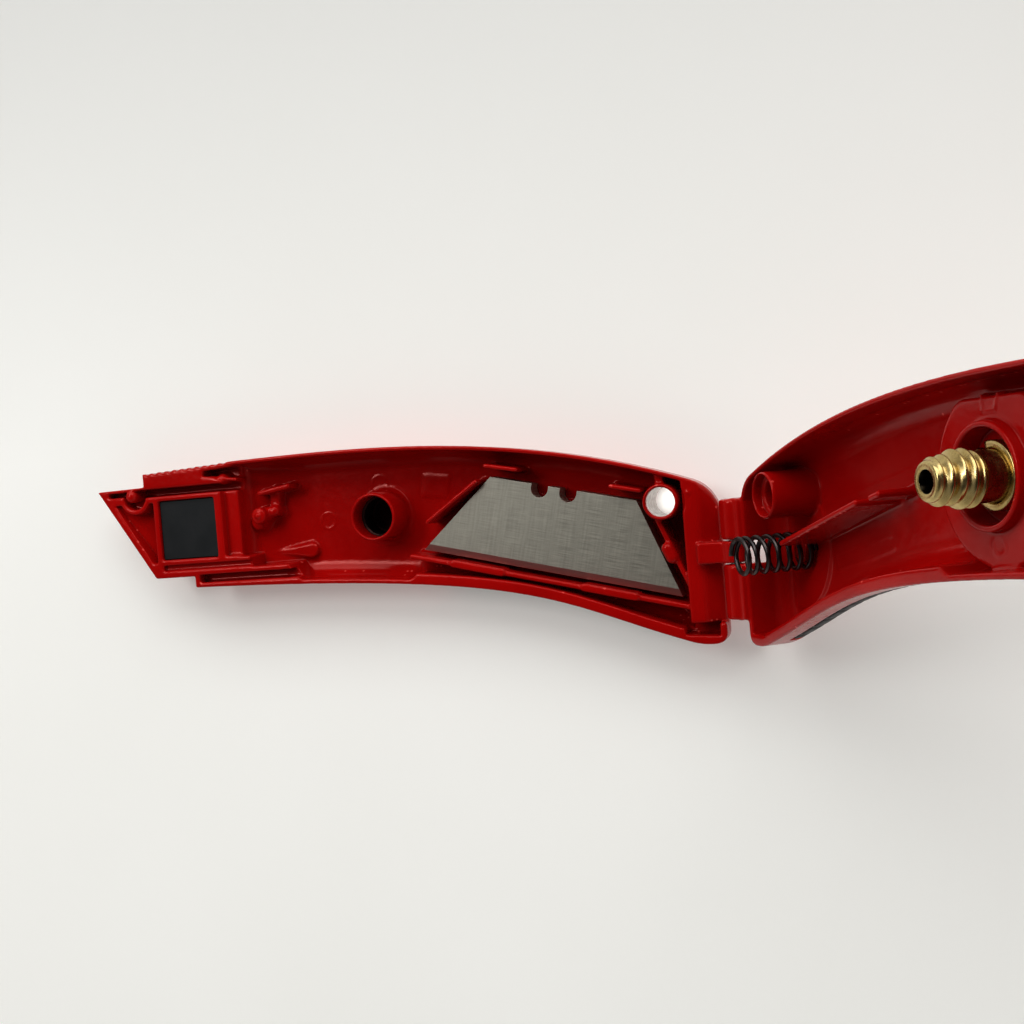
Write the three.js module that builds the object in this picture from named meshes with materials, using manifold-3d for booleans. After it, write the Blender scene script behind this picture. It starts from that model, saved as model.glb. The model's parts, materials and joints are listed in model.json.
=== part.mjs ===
// Heavy-duty utility knife whose die-cast body opens like a clam shell.
//
// The body is two halves joined by a hinge at the butt.  The base half lies on its back, open side up.
// The lid half stands open beside it, and carries the clamp screw and the spring that lifts it.
//
// Both halves are drawn in one blueprint frame, in millimetres:
//   a = distance from the hinge axis towards the nose, h = height towards the spine of the knife,
//   w = depth into the half, from the parting plane (w = 0) to its back (w = HALF_DEPTH).
// The base half is that blueprint turned over.  The lid half is the mirrored blueprint.
// In the part's own frame +X runs from nose to butt, +Y towards the spine and +Z up.  The origin is on
// the base half's flat back, where the axis of the clamp screw meets it when the knife is closed.
import * as THREE from 'three';
import Module from 'manifold-3d';
import { mergeVertices } from 'three/addons/utils/BufferGeometryUtils.js';

const wasm = await Module();
wasm.setup();

// ---- body halves
const HALF_DEPTH = 11.5;          // parting plane to flat back
const NOSE_DEPTH = 6.5;           // the same at the slim nose
const BASE_WALL = 2;              // back wall of each casting
const LID_WALL = 1.6;
const SPINE_WALL = 1.2;
const BELLY_RIM = 2.5;            // broad rim along the palm
const BELLY_RIM_FRONT = 1.1;      // narrow rim ahead of RIM_STEP
const RIM_STEP = 73.5;
const PARTING_GAP = 0.15;         // each half stops this short of the parting plane
const BUTT = 3.1;                 // hinge axis to the butt edge
const BUTT_EDGE = 8.5;            // upright part of the butt edge
const CORNER = 6;                 // long edges of the handle are rounded by this
const NOSE_CORNER = 3;
const TAPER_START = 100;
const TAPER_END = 132;
const NOSE_TIP = 155.4;
const CAVITY_FRONT = 117.7;       // the hollow handle ends here
const PAST = 1;                   // how far a cutting shape reaches past the face that it cuts

// ---- hinge
const OPEN_ANGLE = 123.4;         // degrees from closed to the stop
const KNUCKLE_R = 2.75;
const PIN_R = 1.1;
const PIN_BORE_R = 1.2;
const BASE_KNUCKLE = [-0.4, 4.1];
const LID_KNUCKLES = [[-12.4, -0.75], [4.45, 13]];
const HINGE_SEGMENTS = 24;

// ---- clamp screw, on one axis through both halves
const SCREW = { a: 82.4, h: 15.05 };
const SCREW_PITCH = 1.75;
const SCREW_TRAVEL = 1.75;        // free play of the captive screw, one pitch
const SCREW_TIP = -7.5;           // depth in the lid's blueprint, so past the parting plane
const PILOT_R = 3.9;
const THREAD_R = 4.6;
const NECK_R = 4;
const THREAD_END_W = -0.4;
const CLIP_W = [3.8, 6];
const CLIP_R = [4.2, 5.4];
const CLIP_GAP_TURN = 25;         // degrees from the spine side towards the hinge
const KNOB_R = 10;
const KNOB_H = 5;
const KNOB_RECESS_R = 11;
const KNOB_RECESS_W = 7.9;
const KNOB_TEETH = 30;

// ---- lanyard hole, spring and spare blades
const LANYARD = { a: 15.13, h: 13.41, r: 3.15 };
const SPRING = { a: 14, h: 1.7, r: 3.5, wire: 0.5, turns: 7.5, from: 9.2, to: -6 };
const BLADE = { long: 60.6, short: 34, height: 19, thick: 0.6, pitch: 0.65, count: 8, top: 3.66, bevel: 1.5 };
const BLADE_TILT = Math.atan2(14.09, 58.93);
const BLADE_MIDDLE = { a: 42.1, h: -0.485 };     // middle of the cutting edge
const NOTCHES = [-1.5, 5.15];     // notch centres along the blade, from its middle
const NOTCH_R = 1.95;
const NOTCH_SIDE = 0.9;           // straight sides above a notch's round bottom
const MAGNET = { a: [123.5, 138.5], h: [8.7, 22.7], w: [1, 4.5] };
const GRIP_THICK = 0.7;
const GRIP_GAP = 0.3;
const GRIP_EDGE_W = 4.5;          // the grip wraps round the belly as far up as this depth

// ---- small tools: plain geometry in, manifold solids out
function solid(geometry) {
  const g = geometry.index ? geometry.toNonIndexed() : geometry.clone();
  g.deleteAttribute('normal');
  g.deleteAttribute('uv');
  const merged = mergeVertices(g, 1e-5);
  const triVerts = new Uint32Array(merged.index.array);
  if (signedVolume(merged) < 0) triVerts.reverse();
  const vertProperties = new Float32Array(merged.attributes.position.array);
  return new wasm.Manifold(new wasm.Mesh({ numProp: 3, vertProperties, triVerts }));
}

// Negative where the faces of an indexed geometry point inwards.
function signedVolume(g) {
  const corner = [0, 1, 2].map(() => new THREE.Vector3());
  let sum = 0;
  for (let i = 0; i < g.index.count; i += 3) {
    corner.forEach((v, k) => v.fromBufferAttribute(g.attributes.position, g.index.getX(i + k)));
    sum += corner[0].dot(corner[1].cross(corner[2])) / 6;
  }
  return sum;
}

function union(first, ...others) {
  return others.reduce((sum, next) => sum.add(next), first);
}

function cut(body, ...tools) {
  return tools.reduce((rest, tool) => rest.subtract(tool), body);
}

function geometryOf(manifold) {
  const mesh = manifold.getMesh();
  const g = new THREE.BufferGeometry();
  g.setAttribute('position', new THREE.BufferAttribute(new Float32Array(mesh.vertProperties), 3));
  g.setIndex(new THREE.BufferAttribute(new Uint32Array(mesh.triVerts), 1));
  return g;
}

// A plan outline, as a THREE.Shape or a list of [a, h] points, standing from depth w0 to w1.
function prism(outline, w0, w1, curveSegments = 16) {
  const shape = Array.isArray(outline)
    ? new THREE.Shape(outline.map(([a, h]) => new THREE.Vector2(a, h)))
    : outline;
  const g = new THREE.ExtrudeGeometry(shape, { depth: w1 - w0, bevelEnabled: false, curveSegments });
  return solid(g.translate(0, 0, w0));
}

function block(a0, a1, h0, h1, w0, w1) {
  return prism([[a0, h0], [a1, h0], [a1, h1], [a0, h1]], w0, w1);
}

// A straight upright rib between two plan points.
function rib(from, to, thick, w0, w1) {
  const along = new THREE.Vector2(to[0] - from[0], to[1] - from[1]).normalize();
  const side = [-along.y * thick / 2, along.x * thick / 2];
  return prism([
    [from[0] - side[0], from[1] - side[1]],
    [to[0] - side[0], to[1] - side[1]],
    [to[0] + side[0], to[1] + side[1]],
    [from[0] + side[0], from[1] + side[1]],
  ], w0, w1);
}

// A turned solid on an upright axis: profile is a closed list of [radius, w].
function turned({ a, h }, profile, segments = 32) {
  const points = [...profile, profile[0]].map(([r, w]) => new THREE.Vector2(r, w));
  const g = new THREE.LatheGeometry(points, segments);
  return solid(g.rotateX(Math.PI / 2).translate(a, h, 0));
}

function rod(centre, radius, w0, w1, segments = 24) {
  return turned(centre, [[0, w0], [radius, w0], [radius, w1], [0, w1]], segments);
}

function domedRod(centre, radius, wTop, w1, segments = 16) {
  const dome = [0, 30, 60, 90].map((degrees) => {
    const t = THREE.MathUtils.degToRad(degrees);
    return [radius * Math.sin(t), wTop + radius * 0.6 * (1 - Math.cos(t))];
  });
  return turned(centre, [...dome, [radius, w1], [0, w1]], segments);
}

// An outline of [a, w] points drawn out along the hinge axis.
function alongHinge(outline, h0, h1) {
  const shape = new THREE.Shape(outline.map(([a, w]) => new THREE.Vector2(a, w)));
  const g = new THREE.ExtrudeGeometry(shape, { depth: h1 - h0, bevelEnabled: false });
  return solid(g.rotateX(Math.PI / 2).translate(0, h1, 0));
}

// A cylinder along the hinge axis.
function hingeRod(radius, h0, h1) {
  const g = new THREE.CylinderGeometry(radius, radius, h1 - h0, HINGE_SEGMENTS);
  return solid(g.translate(0, (h0 + h1) / 2, 0));
}

// ---- outline of the body, seen square on to the parting plane
const v2 = (a, h) => new THREE.Vector2(a, h);
const spineCurve = new THREE.CubicBezierCurve(v2(8.5, 17.7), v2(48.4, 32.7), v2(88.8, 31.4), v2(117.8, 31));
const bellyCurve = new THREE.CubicBezierCurve(v2(10.3, -17.15), v2(41.3, -7.1), v2(40.2, 0), v2(130.2, 1.4));
const PAD = { from: 117.8, to: 142.3, top: 29.9, foot: 26.6 };
const NOSE = { top: 26.4, chin: [140.9, 4.1], skirt: 130.2 };

function bodyOutline() {
  const s = new THREE.Shape();
  s.moveTo(BUTT, 11.2);
  s.quadraticCurveTo(4.6, 16.2, 8.5, 17.7);
  s.bezierCurveTo(48.4, 32.7, 88.8, 31.4, PAD.from, 31);
  s.lineTo(PAD.to, PAD.top);
  s.lineTo(PAD.to, PAD.foot);
  s.lineTo(NOSE_TIP, NOSE.top);
  s.lineTo(...NOSE.chin);
  s.lineTo(NOSE.skirt, NOSE.chin[1]);
  s.lineTo(NOSE.skirt, 1.4);
  s.bezierCurveTo(40.2, 0, 41.3, -7.1, 10.3, -17.15);
  s.quadraticCurveTo(7.8, -17.8, 5.4, -17.6);
  s.quadraticCurveTo(BUTT, -17.3, BUTT, -15.2);
  s.closePath();
  return s;
}

// Height of a curve that runs steadily towards the nose, at distance a.
function heightOn(curve, a) {
  let low = 0;
  let high = 1;
  for (let i = 0; i < 40; i++) {
    const t = (low + high) / 2;
    if (curve.getPoint(t).x < a) low = t;
    else high = t;
  }
  return curve.getPoint(low).y;
}

function spineAt(a) {
  if (a < 8.5) return 17.8;
  if (a < PAD.from) return heightOn(spineCurve, a);
  if (a < PAD.to) return THREE.MathUtils.mapLinear(a, PAD.from, PAD.to, 31, PAD.top);
  return PAD.foot;
}

function bellyAt(a) {
  if (a < 10.3) return -17.8;
  if (a < NOSE.skirt) return heightOn(bellyCurve, a);
  return NOSE.chin[1];
}

function taper(a) {
  return THREE.MathUtils.smoothstep(a, TAPER_START, TAPER_END);
}

function depthAt(a) {
  const round = HALF_DEPTH - BUTT_EDGE;
  const short = Math.max(0, BUTT + round - a);
  const full = HALF_DEPTH + (NOSE_DEPTH - HALF_DEPTH) * taper(a);
  return full - round + Math.sqrt(Math.max(0, round * round - short * short));
}

// D-shaped cross-section at distance a: flat back, rounded long edges, open side on the parting plane.
const CORNER_STEPS = 5;
function section(a, inset, spineWall = inset, bellyWall = inset) {
  const top = spineAt(a) - spineWall;
  const bottom = bellyAt(a) + bellyWall;
  const depth = depthAt(a) - inset;
  const rounded = CORNER + (NOSE_CORNER - CORNER) * taper(a) - inset;
  const r = Math.max(0.8, Math.min(rounded, depth - 1));
  const points = [[top, -PAST]];
  for (let i = 0; i <= CORNER_STEPS; i++) {
    const t = (i / CORNER_STEPS) * Math.PI / 2;
    points.push([top - r * (1 - Math.cos(t)), depth - r * (1 - Math.sin(t))]);
  }
  for (let i = CORNER_STEPS; i >= 0; i--) {
    const t = (i / CORNER_STEPS) * Math.PI / 2;
    points.push([bottom + r * (1 - Math.cos(t)), depth - r * (1 - Math.sin(t))]);
  }
  points.push([bottom, -PAST]);
  return points;
}

// Skin stretched over equal-length rings of [a, h, w] points, with both ends closed.
function loft(rings) {
  const n = rings[0].length;
  const triangles = [];
  const add = (...points) => points.forEach((p) => triangles.push(...p));
  for (let k = 0; k + 1 < rings.length; k++) {
    for (let i = 0; i < n; i++) {
      const j = (i + 1) % n;
      add(rings[k][i], rings[k + 1][j], rings[k][j]);
      add(rings[k][i], rings[k + 1][i], rings[k + 1][j]);
    }
  }
  const last = rings[rings.length - 1];
  for (let i = 1; i + 1 < n; i++) {
    add(rings[0][0], rings[0][i], rings[0][i + 1]);
    add(last[0], last[i + 1], last[i]);
  }
  const g = new THREE.BufferGeometry();
  g.setAttribute('position', new THREE.Float32BufferAttribute(triangles, 3));
  return solid(g);
}

function stations(from, to, extra = []) {
  const list = [from, to, ...extra];
  for (let i = 1; i < 5; i++) list.push(BUTT + (HALF_DEPTH - BUTT_EDGE) * (1 - Math.cos(i * Math.PI / 10)));
  for (let a = 17; a < TAPER_START; a += 9) list.push(a);
  for (let a = TAPER_START; a < TAPER_END; a += 4) list.push(a);
  return [...new Set(list)].filter((a) => a >= from && a <= to).sort((p, q) => p - q);
}

function bodyBlock(inset) {
  const ends = [PAD.from, PAD.to, PAD.to + 0.01, NOSE.skirt, NOSE.skirt + 0.01];
  const rings = stations(BUTT - 0.05, NOSE_TIP + PAST, ends).map((a) => section(a, inset).map((p) => [a, ...p]));
  return loft(rings);
}

// Solid of one half before it is hollowed, with the ridged thumb rest on the spine.
function outerBody() {
  const ridges = [];
  for (let a = PAD.from + 2.2; a < PAD.to - 1; a += 2.1) {
    ridges.push(rod({ a, h: spineAt(a) + 0.45 }, 0.9, -PAST, HALF_DEPTH, 8));
  }
  const slab = prism(bodyOutline(), PARTING_GAP, HALF_DEPTH + PAST, 14);
  return cut(bodyBlock(0).intersect(slab), ...ridges);
}

function handleHollow(fromA, wall) {
  const rim = (a) => (a < RIM_STEP ? BELLY_RIM : BELLY_RIM_FRONT);
  const list = stations(fromA, CAVITY_FRONT, [RIM_STEP - 0.1, RIM_STEP + 0.1]);
  return loft(list.map((a) => section(a, wall, SPINE_WALL, rim(a)).map((p) => [a, ...p])));
}

// ---- side grips: a soft inlay let into the back and the belly side of each half
function gripOutline(shrink) {
  const s = new THREE.Shape();
  s.moveTo(13 + shrink, -30);
  s.lineTo(13 + shrink, -9);
  s.bezierCurveTo(14 + shrink, -3.5 - shrink, 34, 5 - shrink, 52, 9 - shrink);
  s.bezierCurveTo(60, 10.5 - shrink, 66 - shrink, 9 - shrink, 68 - shrink, 2);
  s.lineTo(68 - shrink, -30);
  s.closePath();
  return s;
}

const gripPocket = () => prism(gripOutline(0), GRIP_EDGE_W, HALF_DEPTH + PAST, 10)
  .subtract(bodyBlock(GRIP_THICK + GRIP_GAP));

function gripInlay() {
  const region = prism(gripOutline(GRIP_GAP), GRIP_EDGE_W + GRIP_GAP, HALF_DEPTH + PAST, 10);
  return bodyBlock(0.05).subtract(bodyBlock(GRIP_THICK)).intersect(region);
}

// ---- base half
function noseDetails() {
  const top = -PAST;
  const scallop = { a: 145.1, h: 24.3 };
  const slopingFloor = alongHinge([[139, top], [153, top], [153, 1], [139, 4.5]], 0, 30);
  const triangle = prism([[150.6, 22.6], [141.4, 7.9], [140.1, 7.9], [140.1, 22.6]], top, 5)
    .subtract(rod(scallop, 4.2, top - 1, 6));
  const pinPocket = rod(scallop, 3, top, 2.2).intersect(block(140, 150, 20, 25.8, top, 3));
  return {
    pockets: [
      block(MAGNET.a[0] - 0.2, MAGNET.a[1] + 0.2, MAGNET.h[0] - 0.2, MAGNET.h[1] + 0.2, top, MAGNET.w[1] + 0.2),
      block(116.5, 121.3, 8.5, 24.4, top, 2.2),
      block(117, 144.5, 24.1, 26, top, 4.8),
      block(147, 152.4, 24.6, 25.7, top, 2.8),
      prism([[116, 24.5], [120.2, 25], [120.8, 26.6], [123, 27.6], [125.8, 28], [125.6, 29.2], [116, 29.9]], top, 4.8),
      triangle.intersect(slopingFloor),
      pinPocket,
      block(101.5, 128.9, 2.5, 4.4, top, 3),
      block(106, 138.6, 5.8, 7.2, top, 1.3),
    ],
    locatingPin: domedRod({ a: 146.1, h: 24.6 }, 1.4, -0.5, 4),
  };
}

function screwBoss() {
  const outside = turned(SCREW, [
    [0, PARTING_GAP], [5.4, PARTING_GAP], [5.6, 0.4], [5.6, 7], [6.1, 8.6], [7.6, HALF_DEPTH], [0, HALF_DEPTH],
  ]);
  const threaded = THREAD_R + 0.3;
  const pilot = PILOT_R + 0.3;
  const bore = turned(SCREW, [[0, -PAST], [threaded, -PAST], [threaded, 5.4], [pilot, 5.4], [pilot, 10.3], [0, 10.3]]);
  return { outside, bore };
}

function bladeBay() {
  const foot = HALF_DEPTH;
  const restW = BLADE.top + BLADE.count * BLADE.pitch;
  return [
    rib([74.2, 5.4], [10.8, -9.6], 1.1, 1.1, foot),
    rib([64.1, 3.1], [52.4, 0.3], 1.7, 0.7, foot),
    rib([34, -4], [22.3, -6.8], 1.7, 0.7, foot),
    rib([69.5, 12.9], [57, 21.2], 0.9, 1, foot),
    rib([54.8, 24.6], [47.1, 22.9], 0.9, 1, foot),
    rib([26.4, 17.7], [19.7, 16.1], 0.9, 1, foot),
    rib([62, 9], [26, 0.4], 1.4, restW, foot),
    rib([50, 17.4], [26, 11.7], 1.4, restW, foot),
  ];
}

function handlePosts() {
  const foot = HALF_DEPTH;
  const leaf = new THREE.Shape();
  leaf.moveTo(113.8, 8.3);
  leaf.lineTo(103, 6.3);
  leaf.absarc(102.6, 8.1, 1.85, -Math.PI / 2, Math.PI / 2, true);
  leaf.closePath();
  return [
    rod({ a: 113, h: 17.4 }, 1.9, 2.6, foot, 16),
    domedRod({ a: 113, h: 17.4 }, 0.9, 1.9, 4, 12),
    turned({ a: 114.6, h: 15.8 }, [[0, 5.2], [1.6, 5.2], [3, 8.4], [3, foot], [0, foot]], 8),
    rib([113.6, 22.7], [105, 24], 1.2, 4, foot),
    rib([109.9, 22.9], [110.3, 18.6], 2.6, 6, foot),
    prism(leaf, 8.5, foot, 8),
    prism([[100.6, 0], [104.9, 5.6], [114.8, 5.6], [114.8, 8.2], [118.2, 8.2], [118.2, 0]], PARTING_GAP, foot),
  ];
}

function buttDetails() {
  const foot = HALF_DEPTH;
  return [
    rod(LANYARD, 3.87, -0.8, foot),
    rib([15.3, 16.6], [15.6, 20.4], 1.8, 1.2, foot),
    rib([16.6, 9.9], [8.9, -8.2], 1.1, 1.3, foot),
    domedRod({ a: 14.2, h: 2.2 }, 1.9, 0.5, foot),
  ];
}

function baseShell() {
  const outer = outerBody();
  const { pockets, locatingPin } = noseDetails();
  const boss = screwBoss();
  const hollow = handleHollow(10.7, BASE_WALL);
  const inside = union(...bladeBay(), ...handlePosts(), ...buttDetails(), boss.outside);
  const limit = prism(bodyOutline(), -PAST, HALF_DEPTH, 14).intersect(bodyBlock(0.4));
  let shell = union(cut(outer, hollow), inside.intersect(limit));
  const socketRoom = turned(LANYARD, [[4, -2], [5.1, -2], [5.1, 0.95], [4, 0.95]]);
  shell = cut(shell, ...pockets, boss.bore, socketRoom, rod(LANYARD, LANYARD.r, -2, HALF_DEPTH + PAST));
  const buttSlope = alongHinge([
    [0, -3], [7.3, -3], [7.3, PARTING_GAP], [6.4, 0.9], [5.2, 1.9], [4.1, 2.8], [3.2, 3.5], [0, 3.5],
  ], -12.95, 19);
  const bellyPocket = prism([[4.6, -13], [12, -13], [12, -15.4], [9.6, -15.6], [4.6, -15.9]], -PAST, 5.5);
  shell = cut(shell, buttSlope, bellyPocket, gripPocket());
  const [h0, h1] = BASE_KNUCKLE;
  const knuckle = union(hingeRod(KNUCKLE_R, h0, h1), block(0, 8, h0, h1, -1.4, 2.6));
  return cut(union(shell, knuckle, locatingPin), hingeRod(PIN_BORE_R, h0 - 1, h1 + 1));
}

// ---- lid half
function lidShell() {
  const outer = outerBody();
  const foot = HALF_DEPTH;
  const plateau = turned(SCREW, [[0, 4.2], [14, 4.2], [14.6, 4.8], [14.6, foot], [0, foot]])
    .intersect(block(60, 100, -5, 27, 0, foot));
  const collar = turned(SCREW, [[0, 2.1], [8.1, 2.1], [8.4, 2.4], [8.4, 7], [0, 7]]);
  const inside = union(
    plateau,
    collar,
    rod(LANYARD, 4.7, -0.55, foot),
    rib([18.8, 3.8], [48, 11.6], 1.2, 0.7, foot),
    rib([50, 12.1], [56, 13.7], 1.2, 2, foot),
    rod(SPRING, 2.6, 7.4, foot, 16),
  );
  const limit = prism(bodyOutline(), -PAST, foot, 14).intersect(bodyBlock(0.4));
  let shell = union(cut(outer, handleHollow(4.5, LID_WALL)), inside.intersect(limit));
  const hole = THREAD_R + 0.2;
  const clipSeat = CLIP_W[1] + 0.3;
  const screwPassage = turned(SCREW, [
    [0, 0], [7.4, 0], [7.4, clipSeat], [hole, clipSeat], [hole, KNOB_RECESS_W], [KNOB_RECESS_R, KNOB_RECESS_W],
    [KNOB_RECESS_R, foot + PAST], [0, foot + PAST],
  ]);
  const lanyardHole = turned(LANYARD, [
    [0, -2], [4.15, -2], [4.15, 1.6], [LANYARD.r, 1.6], [LANYARD.r, foot + PAST], [0, foot + PAST],
  ]);
  const bladeSeat = prism([[116, 7], [139.6, 7], [148.6, 22.6], [116, 22.6]], -PAST, 0.9);
  const pinSocket = rod({ a: 146.1, h: 24.6 }, 1.9, -PAST, 2, 16);
  const baseKnuckleRoom = block(0, 6, BASE_KNUCKLE[0] - 0.35, BASE_KNUCKLE[1] + 0.35, -3, 5.2);
  shell = cut(shell, screwPassage, lanyardHole, bladeSeat, pinSocket, baseKnuckleRoom, gripPocket());
  const knuckles = LID_KNUCKLES.map(([h0, h1]) => union(
    hingeRod(KNUCKLE_R, h0, h1),
    block(0, 3.9, h0, h1, -0.9, 2.7),
  ));
  return cut(union(shell, ...knuckles), hingeRod(PIN_BORE_R, -20, 20));
}

// ---- pieces that the halves carry
function bladeOutline() {
  const { long, short, height } = BLADE;
  const s = new THREE.Shape();
  s.moveTo(-long / 2, 0);
  s.lineTo(long / 2, 0);
  s.lineTo(short / 2, height);
  for (const at of [...NOTCHES].reverse()) {
    s.lineTo(at + NOTCH_R, height);
    s.absarc(at, height - NOTCH_SIDE, NOTCH_R, 0, Math.PI, true);
    s.lineTo(at - NOTCH_R, height);
  }
  s.lineTo(-short / 2, height);
  s.closePath();
  return s;
}

// Flat blank with both faces ground to a keen edge along its long side.
function spareBlade(index) {
  const { long, thick, pitch, top, bevel } = BLADE;
  const edge = 0.1;
  const alongBlade = new THREE.Matrix4().makeBasis(
    new THREE.Vector3(0, 1, 0), new THREE.Vector3(0, 0, 1), new THREE.Vector3(1, 0, 0));
  const grinding = [[0, -1], [thick, 1]].map(([face, out]) => {
    const wedge = new THREE.Shape([v2(-1, face + out), v2(bevel, face + out * 0.001), v2(-1, face - out * edge * 2)]);
    const g = new THREE.ExtrudeGeometry(wedge, { depth: long + 2, bevelEnabled: false });
    return solid(g.translate(0, 0, -long / 2 - 1).applyMatrix4(alongBlade));
  });
  const ground = geometryOf(cut(prism(bladeOutline(), 0, thick, 8), ...grinding));
  ground.rotateZ(BLADE_TILT);
  return ground.translate(BLADE_MIDDLE.a, BLADE_MIDDLE.h, top + index * pitch);
}

// Compression spring: evenly wound, with its first and last turn closed.
class Helix extends THREE.Curve {
  getPoint(t, target = new THREE.Vector3()) {
    const { a, h, r, wire, turns, from, to } = SPRING;
    const turn = t * turns;
    const closedRise = 2.2 * wire;
    const openRise = Math.abs(to - from) - 2 * closedRise;
    const rise = closedRise * Math.min(turn, 1)
      + openRise * THREE.MathUtils.clamp((turn - 1) / (turns - 2), 0, 1)
      + closedRise * Math.max(0, turn - turns + 1);
    const angle = turn * 2 * Math.PI;
    return target.set(a + r * Math.cos(angle), h + r * Math.sin(angle), from - rise);
  }
}

function lidSpring() {
  const wireSection = new THREE.Shape();
  wireSection.absarc(0, 0, SPRING.wire, 0, 2 * Math.PI);
  const steps = Math.round(SPRING.turns * 14);
  return new THREE.ExtrudeGeometry(wireSection, { steps, extrudePath: new Helix(), curveSegments: 3 });
}

// Turned brass screw: hollow nose, two threaded steps, a groove for the clip and a knurled knob.
function clampScrew() {
  const profile = [[0, 3], [1.75, 2], [1.75, SCREW_TIP], [2.9, SCREW_TIP], [3.2, -7.2], [3.2, -6.5]];
  const thread = (crest, from, to) => {
    for (let w = from; w < to - 0.01; w += SCREW_PITCH) {
      const root = crest - 0.75;
      profile.push([root, w], [crest, w + 0.35 * SCREW_PITCH], [crest, w + 0.65 * SCREW_PITCH]);
      profile.push([root, w + 0.98 * SCREW_PITCH]);
    }
  };
  thread(PILOT_R, THREAD_END_W - 3.5 * SCREW_PITCH, THREAD_END_W - 1.5 * SCREW_PITCH);
  thread(THREAD_R, THREAD_END_W - 1.5 * SCREW_PITCH, THREAD_END_W + 0.5 * SCREW_PITCH);
  const under = KNOB_RECESS_W + 0.1 + SCREW_TRAVEL;
  const face = under + KNOB_H;
  profile.push([NECK_R, 0.6], [NECK_R, CLIP_W[1] + 0.1], [THREAD_R, CLIP_W[1] + 0.15], [THREAD_R, under]);
  profile.push([KNOB_R - 0.9, under], [KNOB_R, under + 0.9], [KNOB_R, face - 0.9], [KNOB_R - 0.9, face]);
  profile.push([6.9, face], [6.3, face - 0.5], [0, face - 0.5]);
  const knurl = [];
  for (let i = 0; i < KNOB_TEETH; i++) {
    const angle = ((i + 0.5) / KNOB_TEETH) * 2 * Math.PI;
    const centre = { a: SCREW.a + KNOB_R * Math.cos(angle), h: SCREW.h + KNOB_R * Math.sin(angle) };
    knurl.push(rod(centre, 0.42, under - PAST, face + PAST, 4));
  }
  return geometryOf(cut(turned(SCREW, profile, KNOB_TEETH), ...knurl));
}

// Split ring in the screw's groove.
function retainingClip() {
  const [w0, w1] = CLIP_W;
  const [inner, outer] = CLIP_R;
  const centre = { a: 0, h: 0 };
  const split = block(-1.1, 1.1, 0, outer + 1, w0 - 1, w1 + 1);
  const ring = turned(centre, [[inner, w0], [outer, w0], [outer, w1], [inner, w1]]).subtract(split);
  return geometryOf(ring).rotateZ(THREE.MathUtils.degToRad(CLIP_GAP_TURN)).translate(SCREW.a, SCREW.h, 0);
}

function noseMagnet() {
  const { a, h, w } = MAGNET;
  const slab = new THREE.BoxGeometry(a[1] - a[0], h[1] - h[0], w[1] - w[0]);
  return slab.translate((a[0] + a[1]) / 2, (h[0] + h[1]) / 2, (w[0] + w[1]) / 2);
}

function hingePin() {
  return geometryOf(hingeRod(PIN_R, LID_KNUCKLES[0][0] + 0.2, LID_KNUCKLES[1][1] - 0.2));
}

// ---- finishes
const finish = (color, roughness, metalness) => new THREE.MeshStandardMaterial({ color, roughness, metalness });
const RED_PAINT = () => finish(0xb3090c, 0.25, 0.0);
const STEEL = () => finish(0x8b8f8c, 0.4, 1.0);
const SPRING_STEEL = () => finish(0x2c2f2d, 0.45, 1.0);
const BRASS = () => finish(0xb08d3c, 0.3, 1.0);
const MAGNET_BLACK = () => finish(0x15191b, 0.6, 0.2);
const SOFT_BLACK = () => finish(0x111111, 0.85, 0.0);

function piece(name, geometry, material) {
  const mesh = new THREE.Mesh(geometry, material);
  mesh.name = name;
  return mesh;
}

// Mirror image across a = 0, with its faces still pointing out.
function mirrored(geometry) {
  const g = mergeVertices(stripped(geometry), 1e-5).scale(-1, 1, 1);
  g.index.array.reverse();
  return g;
}

function stripped(geometry) {
  const g = geometry.index ? geometry.toNonIndexed() : geometry;
  g.deleteAttribute('normal');
  g.deleteAttribute('uv');
  return g;
}

// ---- assembly
const hingePlace = new THREE.Vector3(SCREW.a, -SCREW.h, HALF_DEPTH);

const base = new THREE.Group();
base.rotation.y = Math.PI;
base.position.copy(hingePlace);
base.add(piece('base_shell', geometryOf(baseShell()), RED_PAINT()));
base.add(piece('base_grip', geometryOf(gripInlay()), SOFT_BLACK()));
base.add(piece('nose_magnet', noseMagnet(), MAGNET_BLACK()));
for (let i = 0; i < BLADE.count; i++) {
  base.add(piece(`spare_blade_${i + 1}`, spareBlade(i), STEEL()));
}

const lid = new THREE.Group();
lid.rotation.y = THREE.MathUtils.degToRad(OPEN_ANGLE);
lid.position.copy(hingePlace);
lid.add(piece('lid_shell', mirrored(geometryOf(lidShell())), RED_PAINT()));
lid.add(piece('lid_grip', mirrored(geometryOf(gripInlay())), SOFT_BLACK()));
lid.add(piece('hinge_pin', hingePin(), STEEL()));
lid.add(piece('lid_spring', mirrored(lidSpring()), SPRING_STEEL()));
lid.add(piece('retaining_clip', mirrored(retainingClip()), BRASS()));
lid.add(piece('clamp_screw', mirrored(clampScrew()), BRASS()));

const knife = new THREE.Group();
knife.add(base, lid);
export default knife;
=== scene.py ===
import json
import math

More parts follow.
